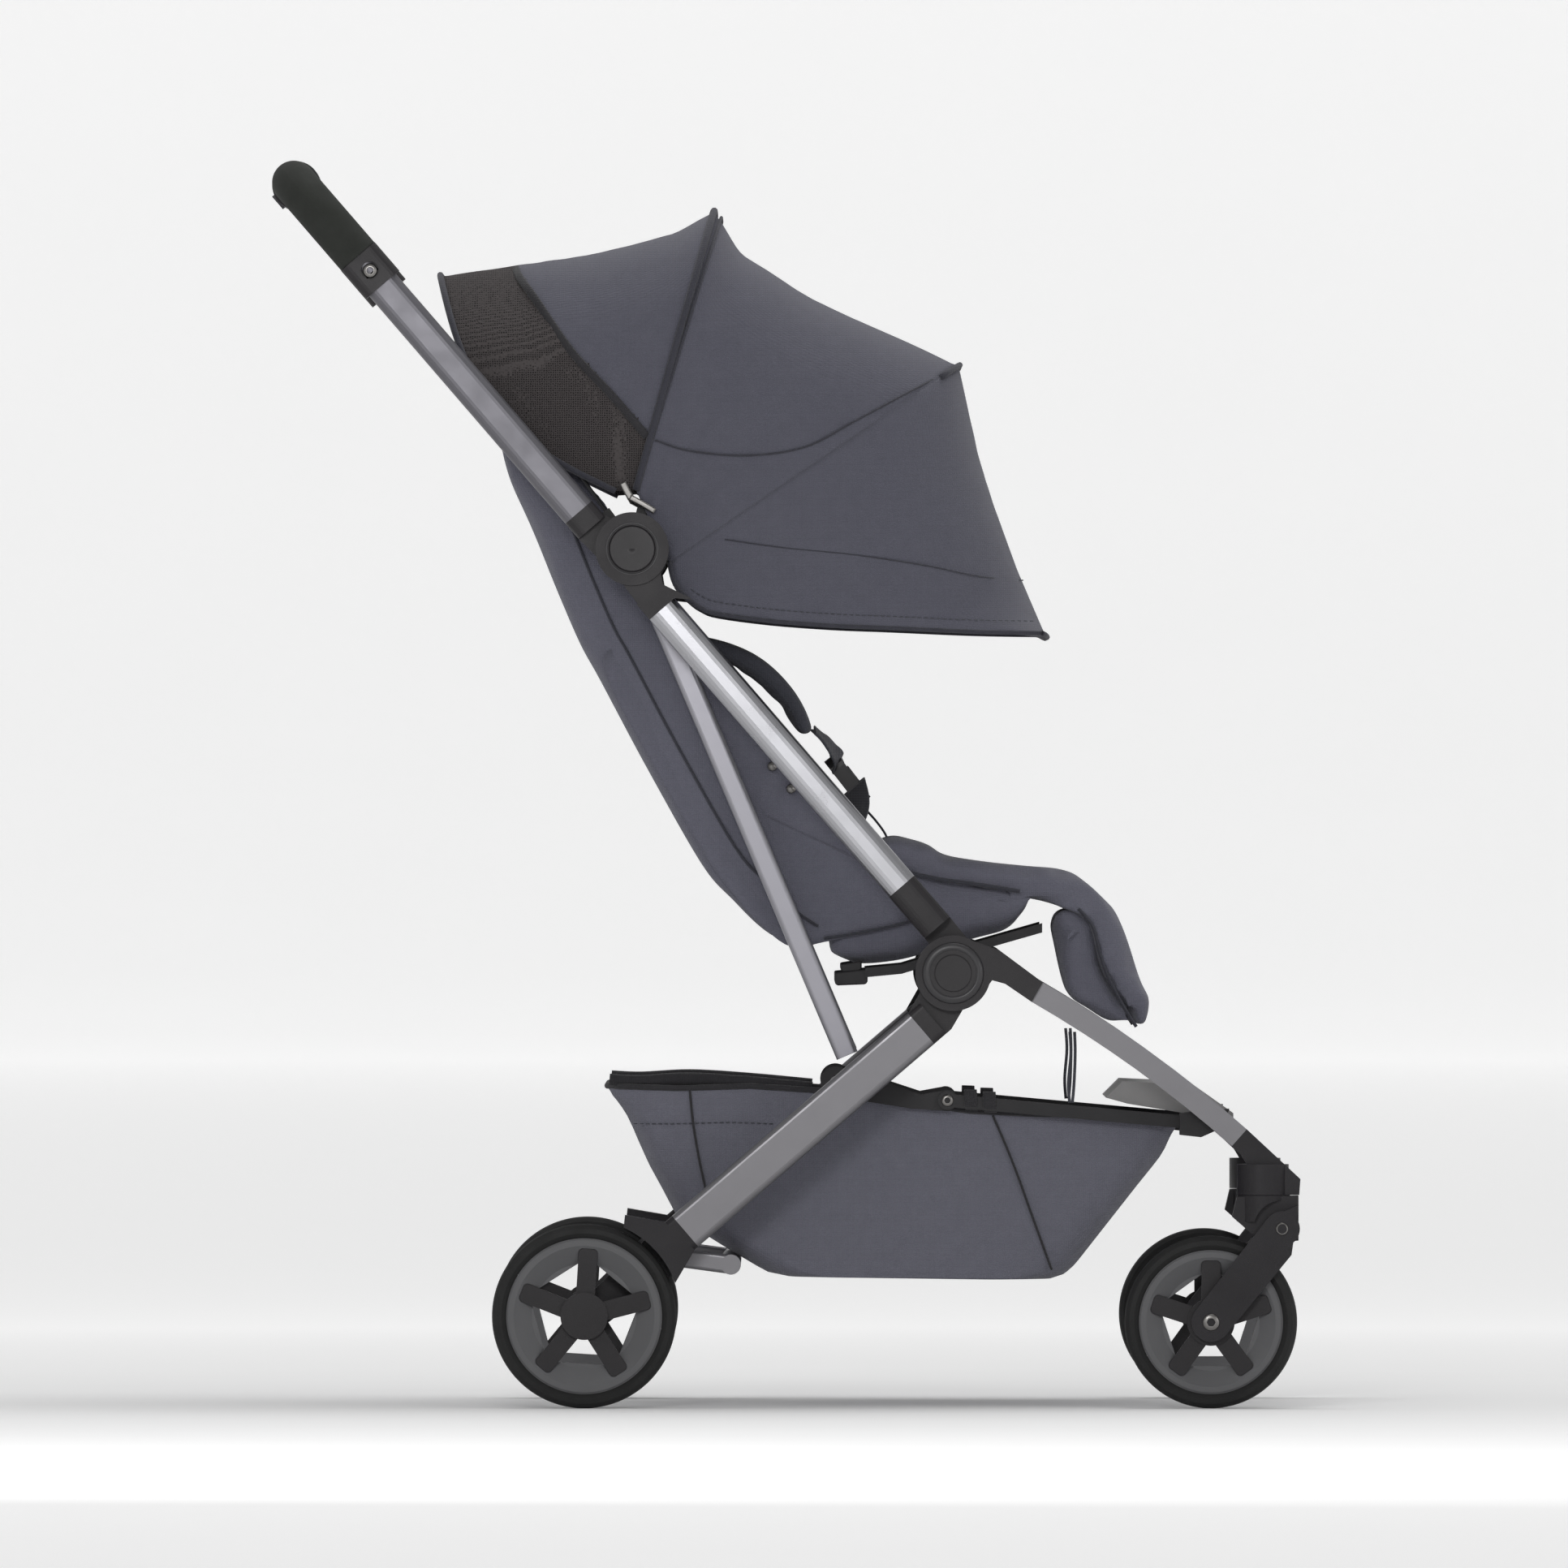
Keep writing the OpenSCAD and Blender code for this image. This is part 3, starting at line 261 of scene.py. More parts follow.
# The harness pads' cloth is the seat cloth darkened to about 0.69, as painted shade for the shade under the canopy.
seat_cloth_painted_shade = woven("seat cloth with painted shade", linear(62, 63, 70))
basket_cloth = woven("basket cloth", linear(96, 96, 106))
basket_lining = woven("basket lining", linear(34, 33, 36), 0.0018, 0.8)
piping_cloth = woven("bound piping", linear(50, 50, 58), 0.0011, 0.75)
webbing = woven("harness webbing", linear(56, 57, 64), 0.0022, 0.7, 0.16)
dark_tape = woven("binding tape", linear(40, 39, 42), 0.0014, 0.75, 0.14)
# The net's second colour, near black, is painted shade in its holes.
net_cloth = netting("ventilation net", linear(70, 66, 66), linear(22, 19, 20))
thread_yarn = woven("sewing thread", linear(58, 59, 66), 0.0008, 0.6)

for name, finish in {
    "main_tubes": satin_tube, "handle_tubes": handle_tube, "rear_legs": leg_tube, "front_legs": leg_tube,
    "back_struts": strut_tube, "rear_cross_tube": leg_tube, "frame_pins": screw_steel,
    "mid_hinge_pins": screw_steel, "handlebar_core": handle_tube, "handle_grip": grip_foam,
    "handle_collars": hinge_plastic, "handle_hinge_ends": hinge_plastic, "main_hinge_ends": hinge_plastic,
    "rear_hinge_ends": hinge_plastic, "front_hubs": hinge_plastic, "mid_hinge_housings": hinge_plastic,
    "mid_hinge_caps": cap_plastic, "lower_hinge_caps": cap_plastic, "rear_feet": fork_plastic,
    "caster_housings": fork_plastic, "rail_brackets": rail_plastic, "footrest": board_plastic,
    "seat_rails": rail_plastic, "basket_cranks": rail_plastic, "basket_rails": rail_plastic,
    "brake_pedal": fork_plastic, "control_housing": hinge_plastic, "fold_slider": button_plastic,
    "fold_trigger": button_plastic, "harness_buckle": cap_plastic, "buckle_button": button_plastic,
    "canopy_rear_bow": rail_plastic, "canopy_mid_bow": rail_plastic, "canopy_front_bow": rail_plastic,
    "caster_block_right": fork_plastic, "caster_block_left": fork_plastic,
    "fork_right": fork_plastic, "fork_left": fork_plastic,
}.items():
    nodes[name].data.materials.clear()
    nodes[name].data.materials.append(finish)
for end in ("rear", "front"):
    for hand in ("right", "left"):
        for piece, finish in (("tyre", tyre_rubber), ("rim", rim_paint), ("star", wheel_plastic)):
            mesh = nodes[f"{end}_{piece}_{hand}"].data
            mesh.materials.clear()
            mesh.materials.append(finish)


# ---- mesh building ----

def piece(name, verts, faces, *finishes, smooth=True, tidy=True):
    mesh = bpy.data.meshes.new(name)
    mesh.from_pydata([tuple(v) for v in verts], [], faces)
    for finish in finishes:
        mesh.materials.append(finish)
    if tidy:
        bm = bmesh.new()
        bm.from_mesh(mesh)
        bmesh.ops.remove_doubles(bm, verts=bm.verts, dist=1e-5)
        bmesh.ops.recalc_face_normals(bm, faces=bm.faces)
        bm.to_mesh(mesh)
        bm.free()
    for p in mesh.polygons:
        p.use_smooth = smooth
    obj = bpy.data.objects.new(name, mesh)
    bpy.context.scene.collection.objects.link(obj)
    return obj


def settle(obj):
    """Applies every modifier of a piece to its mesh."""
    bpy.context.view_layer.update()
    solid = bpy.data.meshes.new_from_object(obj.evaluated_get(bpy.context.evaluated_depsgraph_get()))
    obj.modifiers.clear()
    old = obj.data
    obj.data = solid
    bpy.data.meshes.remove(old)
    return obj


def grid(rows, columns, row_closed=False, column_closed=False, flip=False):
    faces = []
    for i in range(rows if row_closed else rows - 1):
        for j in range(columns if column_closed else columns - 1):
            a, b = i * columns + j, i * columns + (j + 1) % columns
            c, d = (i + 1) % rows * columns + (j + 1) % columns, (i + 1) % rows * columns + j
            faces.append((d, c, b, a) if flip else (a, b, c, d))
    return faces


def tube_mesh(path, radius, sides=8, closed=False, squash=(1.0, 1.0), across=None):
    """Vertices and faces of a tube along a path; across fixes the section's first axis."""
    verts, faces = [], []
    n = len(path)
    last = None
    for i, p in enumerate(path):
        if closed:
            t = path[(i + 1) % n] - path[i - 1]
        else:
            t = path[min(i + 1, n - 1)] - path[max(i - 1, 0)]
        t = t.normalized() if t.length > 1e-9 else Vector((1, 0, 0))
        side = Vector(across) if across else (last if last else t.orthogonal())
        side = side - t * side.dot(t)
        side = side.normalized() if side.length > 1e-6 else t.orthogonal().normalized()
        last = side
        up = t.cross(side)
        for k in range(sides):
            a = 2 * math.pi * k / sides
            verts.append(p + side * (math.cos(a) * radius * squash[0]) + up * (math.sin(a) * radius * squash[1]))
    faces = grid(n, sides, row_closed=closed, column_closed=True)
    if not closed:
        faces += [tuple(range(sides - 1, -1, -1)), tuple((n - 1) * sides + k for k in range(sides))]
    return verts, faces


def many(name, parts, *finishes, smooth=True):
    """One piece from several (verts, faces) parts."""
    verts, faces = [], []
    for v, f in parts:
        base = len(verts)
        verts += v
        faces += [tuple(base + i for i in face) for face in f]
    return piece(name, verts, faces, *finishes, smooth=smooth)


def tube(name, paths, radius, finish, sides=8, **how):
    return many(name, [tube_mesh(p, radius, sides, **how) for p in paths], finish)


def strap_mesh(path, width, thick, across=(0, 1, 0)):
    """A flat strap: a rounded section, wide along across."""
    verts = []
    n = len(path)
    section = [(-1, 0), (-0.94, 1), (-0.5, 1.1), (0.5, 1.1), (0.94, 1), (1, 0), (0.94, -1), (0.5, -1.1),
               (-0.5, -1.1), (-0.94, -1)]
    for i, p in enumerate(path):
        t = (path[min(i + 1, n - 1)] - path[max(i - 1, 0)]).normalized()
        side = Vector(across)
        side = (side - t * side.dot(t)).normalized()
        up = t.cross(side)
        verts += [p + side * (a * width / 2) + up * (b * thick / 2) for a, b in section]
    m = len(section)
    caps = [tuple(range(m - 1, -1, -1)), tuple((n - 1) * m + k for k in range(m))]
    return verts, grid(n, m, column_closed=True) + caps


def mirrored(points):
    return [Vector((p.x, -p.y, p.z)) for p in points]


def both(points):
    return [points, mirrored(points)]


def turned_mesh(centre, profile, hand, sides=40):
    """A ring profile of (radius, y) turned about an axis across the stroller."""
    rings = [[Vector((centre.x + r * math.cos(2 * math.pi * k / sides), hand * y,
                      centre.z + r * math.sin(2 * math.pi * k / sides))) for k in range(sides)] for r, y in profile]
    verts = [v for ring in rings for v in ring]
    return verts, grid(len(profile), sides, column_closed=True)


# ---- stitches, screws and other repeats ----

def row_tree(name, finish):
    """Geometry nodes that set a small rounded bar at even steps along every spline of a path."""
    tree = bpy.data.node_groups.new(name, "GeometryNodeTree")
    face = tree.interface
    face.new_socket("Path", in_out="INPUT", socket_type="NodeSocketGeometry")
    for label, value in (("Spacing", 0.006), ("Length", 0.004), ("Thickness", 0.0006)):
        face.new_socket(label, in_out="INPUT", socket_type="NodeSocketFloat").default_value = value
    face.new_socket("Row", in_out="OUTPUT", socket_type="NodeSocketGeometry")
    new, join = tree.nodes.new, tree.links.new
    source, sink = new("NodeGroupInput"), new("NodeGroupOutput")
    sample = new("GeometryNodeCurveToPoints")
    sample.mode = "LENGTH"
    join(source.outputs["Path"], sample.inputs["Curve"])
    join(source.outputs["Spacing"], sample.inputs["Length"])
    bar = new("GeometryNodeMeshCylinder")
    bar.inputs["Vertices"].default_value = 6
    join(source.outputs["Thickness"], bar.inputs["Radius"])
    join(source.outputs["Length"], bar.inputs["Depth"])
    smooth = new("GeometryNodeSetShadeSmooth")
    join(bar.outputs["Mesh"], smooth.inputs["Geometry"])
    put = new("GeometryNodeInstanceOnPoints")
    join(sample.outputs["Points"], put.inputs["Points"])
    join(smooth.outputs["Geometry"], put.inputs["Instance"])
    aim = new("FunctionNodeAlignRotationToVector")
    aim.axis = "Z"
    join(sample.outputs["Tangent"], aim.inputs["Vector"])
    join(aim.outputs["Rotation"], put.inputs["Rotation"])
    real, coat = new("GeometryNodeRealizeInstances"), new("GeometryNodeSetMaterial")
    coat.inputs["Material"].default_value = finish
    join(put.outputs["Instances"], real.inputs["Geometry"])
    join(real.outputs["Geometry"], coat.inputs["Geometry"])
    join(coat.outputs["Geometry"], sink.inputs["Row"])
    return tree


stitch_row = row_tree("stitch row", thread_yarn)


def repeat(name, tree, paths, body, slot, **sizes):
    """Runs a row tree along paths and leaves one plain mesh riding on a body."""
    curve = bpy.data.curves.new(name + " path", "CURVE")
    curve.dimensions = "3D"
    for path in paths:
        spline = curve.splines.new("POLY")
        spline.points.add(len(path) - 1)
        for point, p in zip(spline.points, path):
            point.co = (*p, 1.0)
    guide = bpy.data.objects.new(name + "_guide", curve)
    bpy.context.scene.collection.objects.link(guide)
    modifier = guide.modifiers.new("row", "NODES")
    modifier.node_group = tree
    for item in tree.interface.items_tree:
        if item.in_out == "INPUT" and item.name in sizes:
            modifier[item.identifier] = sizes[item.name]
    bpy.context.view_layer.update()
    mesh = bpy.data.meshes.new_from_object(guide.evaluated_get(bpy.context.evaluated_depsgraph_get()))
    guide.modifiers.clear()
    bpy.data.objects.remove(guide)
    obj = bpy.data.objects.new(name, mesh)
    bpy.context.scene.collection.objects.link(obj)
    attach(obj, body)
    return obj


def screw_mesh(centre, hand, radius, y, drive=0.45):
    """A pan-head screw with a hex recess, its axis across the stroller."""
    sides = 24
    profile = [(radius, y - 0.003), (radius, y + 0.0006), (radius * 0.86, y + 0.0014),
               (radius * drive + 0.0004, y + 0.0016)]
    verts, faces = turned_mesh(centre, profile, hand, sides)
    base = len(verts)
    for depth in (0.0016, -0.0008):
        for k in range(sides):
            a = 2 * math.pi * k / sides
            flat = radius * drive / math.cos((a % (math.pi / 3)) - math.pi / 6)
            flat = min(flat, radius * drive * 1.12)
            verts.append(Vector((centre.x + flat * math.cos(a), hand * (y + depth), centre.z + flat * math.sin(a))))
    for k in range(sides):
        j = (k + 1) % sides
        faces.append((base - sides + k, base - sides + j, base + j, base + k))
        faces.append((base + k, base + j, base + sides + j, base + sides + k))
    faces.append(tuple(base + sides + k for k in range(sides)))
    faces.append(tuple(range(sides)))
    return verts, faces


# ---- padded upholstery ----

def inset_outline(points, depth):
    """Side-view outline moved inwards."""
    n = len(points)
    area = sum(points[i].x * points[(i + 1) % n].z - points[(i + 1) % n].x * points[i].z for i in range(n))
    turn = 1 if area > 0 else -1
    out = []
    for i, p in enumerate(points):
        t = (points[(i + 1) % n] - points[i - 1]).normalized()
        out.append(p + Vector((-t.z, 0, t.x)) * (turn * depth))
    return out


def pad_solid(name, outline, half, edge, finish, shrink=0.0):
    """Closed pad of a side-view outline, rounded over towards both of its sides."""
    loop = inset_outline(along(outline, 6, closed=True), shrink)
    stations = []
    for k in range(5):
        a = math.pi / 2 * k / 4
        stations.append((-(half - edge + edge * math.cos(a)), edge * (1 - math.sin(a))))
    stations += [(lerp(-(half - edge), half - edge, k / 8), 0.0) for k in range(1, 8)]
    stations += [(-y, d) for y, d in reversed(stations[:5])]
    verts = [Vector((p.x, y, p.z)) for y, d in stations for p in inset_outline(loop, d)]
    n = len(loop)
    faces = grid(len(stations), n, column_closed=True)
    faces += [tuple(range(n)), tuple((len(stations) - 1) * n + k for k in reversed(range(n)))]
    pad = piece(name, verts, faces, finish)
    thirds = pad.modifiers.new("even faces", "TRIANGULATE")
    thirds.ngon_method = "BEAUTY"
    return settle(pad)


def fill_out(obj, voxel, cap, pressure=4.0):
    """Blows a pad up as stuffed cloth, keeping every point within cap of where it started."""
    shape = obj.modifiers.new("even faces", "REMESH")
    shape.mode, shape.voxel_size, shape.use_smooth_shade = "VOXEL", voxel, True
    settle(obj)
    start = [v.co.copy() for v in obj.data.vertices]
    cloth = obj.modifiers.new("stuffing", "CLOTH")
    cloth.settings.use_pressure = True
    cloth.settings.uniform_pressure_force = pressure
    cloth.settings.effector_weights.gravity = 0
    cloth.settings.quality = 5
    cloth.settings.tension_stiffness = 20
    cloth.settings.compression_stiffness = 20
    cloth.settings.bending_stiffness = 0.6
    scene = bpy.context.scene
    for step in range(1, 21):
        scene.frame_set(step)
    settled = obj.evaluated_get(bpy.context.evaluated_depsgraph_get()).to_mesh()
    moved = [v.co.copy() for v in settled.vertices]
    obj.modifiers.clear()
    scene.frame_set(1)
    for v, a, b in zip(obj.data.vertices, start, moved):
        shift = b - a
        v.co = a + shift * (min(1.0, cap / shift.length) if shift.length > 1e-9 else 0.0)
    relax = obj.modifiers.new("relax", "SMOOTH")
    relax.factor, relax.iterations = 0.5, 3
    finer = obj.modifiers.new("finer", "SUBSURF")
    finer.levels = finer.render_levels = 1
    settle(obj)
    for p in obj.data.polygons:
        p.use_smooth = True
    return obj


def keep(obj, body):
    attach(obj, body)
    return obj


seat_side = [(33, 383), (43, 378), (69, 378), (100, 382), (124, 389), (162, 400), (192, 408), (205, 420),
             (214, 434), (200, 439), (170, 444), (134, 449), (100, 457), (72, 458), (46, 446), (36, 415)]
base_pad = pad_solid("seat_base_pad", [seat(*p) for p in seat_side], 0.1435, 0.010, seat_cloth, 0.003)
fill_out(base_pad, 0.006, 0.006)
keep(base_pad, "main_frame")
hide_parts("seat_cushion")

leg_side = [(228, 420), (232, 400), (244, 352), (262, 338), (280, 326), (296, 320), (292, 336), (283, 352),
            (273, 373), (266, 404), (256, 418), (243, 427)]
leg_pad = pad_solid("legrest_pad", [seat(*p) for p in leg_side], 0.128, 0.008, seat_cloth, 0.002)
fill_out(leg_pad, 0.005, 0.005)
keep(leg_pad, "legrest")
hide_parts("legrest")

# Quilted liner over the seat, round the knee and down the legrest
liner_side = [(64, 478), (87, 482), (104, 478), (121, 473), (135, 464), (170, 458), (208, 454), (232, 452), (253, 445),
              (274, 426), (286, 402), (300, 358), (309, 341), (309, 328), (307, 316), (297, 317), (292, 332),
              (281, 352), (271, 374), (264, 400), (256, 414), (243, 424), (226, 431), (202, 436), (170, 441),
              (134, 446), (100, 454), (72, 458)]
liner = pad_solid("seat_liner", [seat(*p) for p in liner_side], 0.1425, 0.008, seat_cloth, 0.002)
for v in liner.data.vertices:
    v.co.y *= lerp(1.0, 0.91, smoothstep(LOW.x + 0.080, LOW.x + 0.125, v.co.x))
fill_out(liner, 0.005, 0.006)
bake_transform(liner)

BACK = [(-249, 822), (-216, 754), (-191, 693), (-171, 647), (-156, 620), (-115, 543), (-67, 459), (-42, 431),
        (-18, 407), (10, 388)]
WING = [0.02, 0.62, 0.9, 1.0, 1.0, 1.0, 0.94, 0.72, 0.5, 0.34]
back_path = along([seat(*p) for p in BACK], 6)
wing_reach = [v.x for v in along([Vector((w, 0, 0)) for w in WING], 6)]
BACK_OUT = Vector((0.87, 0, 0.49)).normalized()
SEAT_HALF, WING_HALF, PAD_T, WING_T = 0.1435, 0.124, 0.030, 0.080


def back_surface(row, y, depth):
    """A point of the backrest: depth 0 is its back, 1 its front, with the side wings standing forward."""
    up = smoothstep(WING_HALF - 0.012, WING_HALF + 0.006, abs(y))
    thick = PAD_T + (WING_T - PAD_T) * wing_reach[row] * up
    r = 0.010
    over = max(0.0, abs(y) - (SEAT_HALF - r))
    round_off = r - math.sqrt(max(r * r - over * over, 0.0))
    end = min(row, len(back_path) - 1 - row)
    round_off += 0.008 * (1 - smoothstep(0, 4, end))
    lumbar = 0.004 * math.cos(y / SEAT_HALF * math.pi / 2) * math.sin(row / (len(back_path) - 1) * math.pi)
    d = 0.003 + round_off if depth == 0 else thick - round_off + lumbar
    q = back_path[row] + BACK_OUT * d
    return Vector((q.x, y, q.z))


columns = [lerp(-SEAT_HALF, SEAT_HALF, j / 72) for j in range(73)]
rows = len(back_path)
back_verts = [back_surface(i, y, 1) for i in range(rows) for y in columns]
back_verts += [back_surface(i, y, 0) for i in range(rows) for y in columns]
size = rows * len(columns)
back_faces = grid(rows, len(columns)) + [tuple(size + k for k in f) for f in grid(rows, len(columns), flip=True)]
rim_loop = ([j for j in range(73)] + [i * 73 + 72 for i in range(1, rows)]
            + [(rows - 1) * 73 + j for j in range(71, -1, -1)] + [i * 73 for i in range(rows - 2, 0, -1)])
for a, b in zip(rim_loop, rim_loop[1:] + rim_loop[:1]):
    back_faces.append((a, size + a, size + b, b))
back_pad = piece("backrest_pad", back_verts, back_faces, seat_cloth)
fill_out(back_pad, 0.006, 0.005, 3.0)
keep(back_pad, "backrest")
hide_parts("backrest")

# Side panels of cloth from the wings down to the seat, behind the main tubes
panel_edge = [(-150, 640), (-118, 646), (-86, 640), (-52, 600), (-10, 552), (36, 500), (70, 462),
              (98, 446), (104, 412), (70, 402), (34, 394), (6, 390), (-20, 409), (-44, 436), (-66, 466),
              (-112, 546), (-148, 612)]
outline = along([seat(*p) for p in panel_edge], 5, closed=True)
middle = sum(outline, Vector()) / len(outline)
for hand, label in ((RIGHT, "right"), (LEFT, "left")):
    verts, panel_faces = [], []
    for k in range(13):
        s = 1 - k / 13
        for p in outline:
            q = middle + (p - middle) * s
            fold = 0.0022 * noise.noise(Vector((q.x * 16, q.z * 10, 4.2 * hand)))
            out = SEAT_HALF + 0.0012 - 0.003 * (1 - s) + fold * min(1.0, 3 * (1 - s))
            verts.append(Vector((q.x, hand * out, q.z)))
    verts.append(Vector((middle.x, hand * (SEAT_HALF - 0.002), middle.z)))
    m = len(outline)
    panel_faces = grid(13, m, column_closed=True) + [(12 * m + k, 12 * m + (k + 1) % m, 13 * m) for k in range(m)]
    panel = piece("seat_side_panel_" + label, verts, panel_faces, seat_cloth)
    if panel.data.polygons[0].normal.y * hand < 0:
        panel.data.flip_normals()
    wall = panel.modifiers.new("cloth", "SOLIDIFY")
    wall.thickness, wall.offset = 0.0016, -1
    settle(panel)
    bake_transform(panel)

pad_side = [(-102, 656), (-59, 652), (-20, 636), (10, 606), (24, 574), (12, 570), (-2, 596), (-30, 622),
            (-62, 637), (-104, 643)]
# The shoulder pads take the seat cloth darkened as painted shade.
for hand, label in ((RIGHT, "right"), (LEFT, "left")):
    shoulder = pad_solid("harness_pad_" + label, [seat(*p) for p in pad_side], 0.0215, 0.006, seat_cloth_painted_shade, 0.001)
    for v in shoulder.data.vertices:
        v.co.y += hand * 0.048
    fill_out(shoulder, 0.0045, 0.003)
    keep(shoulder, "backrest")
    if hand == RIGHT:
        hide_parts("harness_pads")

# ---- seams, piping and studs of the seat ----

side_y = SEAT_HALF + 0.0028
wing_seam = [back_path[i] + BACK_OUT * 0.030 for i in range(3, rows - 2)]
for body, label, paths, radius in (
    ("backrest", "wing_seam", [[p + Vector((0, side_y + 0.001, 0)) for p in wing_seam]], 0.0013),
    ("main_frame", "base_seam", [along([seat(x, z, side_y + 0.0012) for x, z in
                                        ((34, 397), (60, 401), (85, 406), (107, 411), (140, 416))], 8)], 0.0013),
    ("main_frame", "top_seam", [along([seat(x, z, side_y - 0.002) for x, z in
                                       ((84, 457), (100, 454), (134, 447), (170, 442), (200, 437))], 8)], 0.0018),
    ("legrest", "leg_seam", [along([seat(x, z, 0.1300) for x, z in
                                    ((250, 422), (262, 407), (268, 384), (276, 362), (290, 336), (299, 322))], 8)], 0.0016),
):
    keep(tube(label, [q for p in paths for q in both(p)], radius, piping_cloth, 6), body)

stud_points = [seat(-10, 543), seat(6, 524)]
studs = []
for p in stud_points:
    for hand in (RIGHT, LEFT):
        studs.append(turned_mesh(p, [(0.0001, side_y + 0.008), (0.0034, side_y + 0.0076), (0.0042, side_y + 0.006),
                                     (0.0042, side_y + 0.0015), (0.0001, side_y + 0.001)], hand, 18))
keep(many("seat_studs", studs, screw_steel), "backrest")

# Black block under the seat, where the seat board is clipped to its rails
block = []
for hand in (RIGHT, LEFT):
    for x0, x1, z0, z1, y0, y1 in ((43, 71, 357, 371, 0.118, 0.138), (48, 66, 368, 378, 0.121, 0.135)):
        corners = [seat(x, z) for x, z in ((x0, z0 + 2), (x0 + 2, z0), (x1 - 2, z0 + 1), (x1, z0 + 3),
                                           (x1, z1), (x0, z1 - 3))]
        ring = [Vector((p.x, hand * y, p.z)) for y in (y0, y1) for p in corners]
        block.append((ring, grid(2, 6, column_closed=True) + [tuple(range(6)), tuple(range(11, 5, -1))]))
clips = many("seat_board_clips", block, rail_plastic, smooth=False)
edge = clips.modifiers.new("edge", "BEVEL")
edge.width, edge.segments = 0.0012, 2
keep(settle(clips), "main_frame")

# ---- harness webbing ----

straps = []
for hand in (RIGHT, LEFT):
    y = hand * 0.048
    straps.append(strap_mesh(along([seat(26, 574, y), seat(36, 564, y * 0.9), seat(44, 552, y * 0.62),
                                    seat(46, 545, hand * 0.018)], 6), 0.022, 0.0016, (0.3, 1, 0)))
    straps.append(strap_mesh(along([seat(60, 526, hand * 0.02), seat(64, 505, hand * 0.07),
                                    seat(58, 486, hand * 0.11), seat(40, 470, hand * 0.121)], 6), 0.024, 0.0016,
                             (0.7, 0, 0.7)))
    straps.append(strap_mesh(along([seat(-112, 640, y), seat(-118, 632, y), seat(-122, 622, y)], 5), 0.022, 0.0016))
straps.append(strap_mesh(along([seat(63, 514), seat(69, 507), seat(78, 497), seat(86, 486), seat(90, 476)], 6),
                         0.025, 0.0018))
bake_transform(many("harness_webbing", straps, webbing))

# ---- canopy ----

REAR, CROWN, BROW = (0.284, 125.0), (0.295, 76.5), (0.318, 29.5)
RIM = MID + Vector((0.351, 0, -0.074))
CANOPY_HALF = (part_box("canopy_visor")[1].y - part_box("canopy_visor")[0].y) / 2
CORNER = 0.092
LOW_EDGE = [MID + Vector((x / 1000, 0, z / 1000)) for x, z in
            ((31, -11), (36, -30), (48, -43), (58, -50), (72, -55), (117, -61), (170, -65), (220, -67),
             (290, -70), (347, -71))]


def canopy_section(foot, top, across=24, rise=26, bulge=0.0):
    """One section of the cloth from the left foot over the top to the right foot; bulge bows its sides back."""
    v = top - foot
    length = v.length
    u = v / length
    bend = min(CORNER, length)
    back = Vector((-u.z, 0, u.x)) * bulge
    out = []
    for i in range(rise):
        f = (length - bend) * i / rise / length
        p = foot + u * (length * f) + back * math.sin(math.pi * f)
        out.append(Vector((p.x, CANOPY_HALF, p.z)))
    for i in range(12):
        a = math.pi / 2 * i / 12
        f = (length - bend + bend * math.sin(a)) / length
        p = foot + u * (length * f) + back * math.sin(math.pi * f)
        out.append(Vector((p.x, CANOPY_HALF - CORNER + CORNER * math.cos(a), p.z)))
    for i in range(across + 1):
        y = lerp(CANOPY_HALF - CORNER, -(CANOPY_HALF - CORNER), i / across)
        out.append(Vector((top.x, y, top.z)))
    return out + [Vector((p.x, -p.y, p.z)) for p in reversed(out[:rise + 12])]


def canopy_top(panel, f):
    """The top line of a panel, from its rear bow at 0 to its front bow at 1, with the dip between them."""
    a, b, dip, start_dip = panel
    angle = lerp(a[1], b[1], f)
    p, q = hood(*a), hood(*b)
    chord = lerp(p, q, f)
    out = (chord - MID).normalized()
    near, far = (1 - f, f) if start_dip else (f, 1 - f)
    inside = 1.0 if 0 < f < 1 else 0.0
    return chord - out * (dip * smoothstep(-0.02, 0.16, near) * smoothstep(-0.12, 0.62, far) * inside)


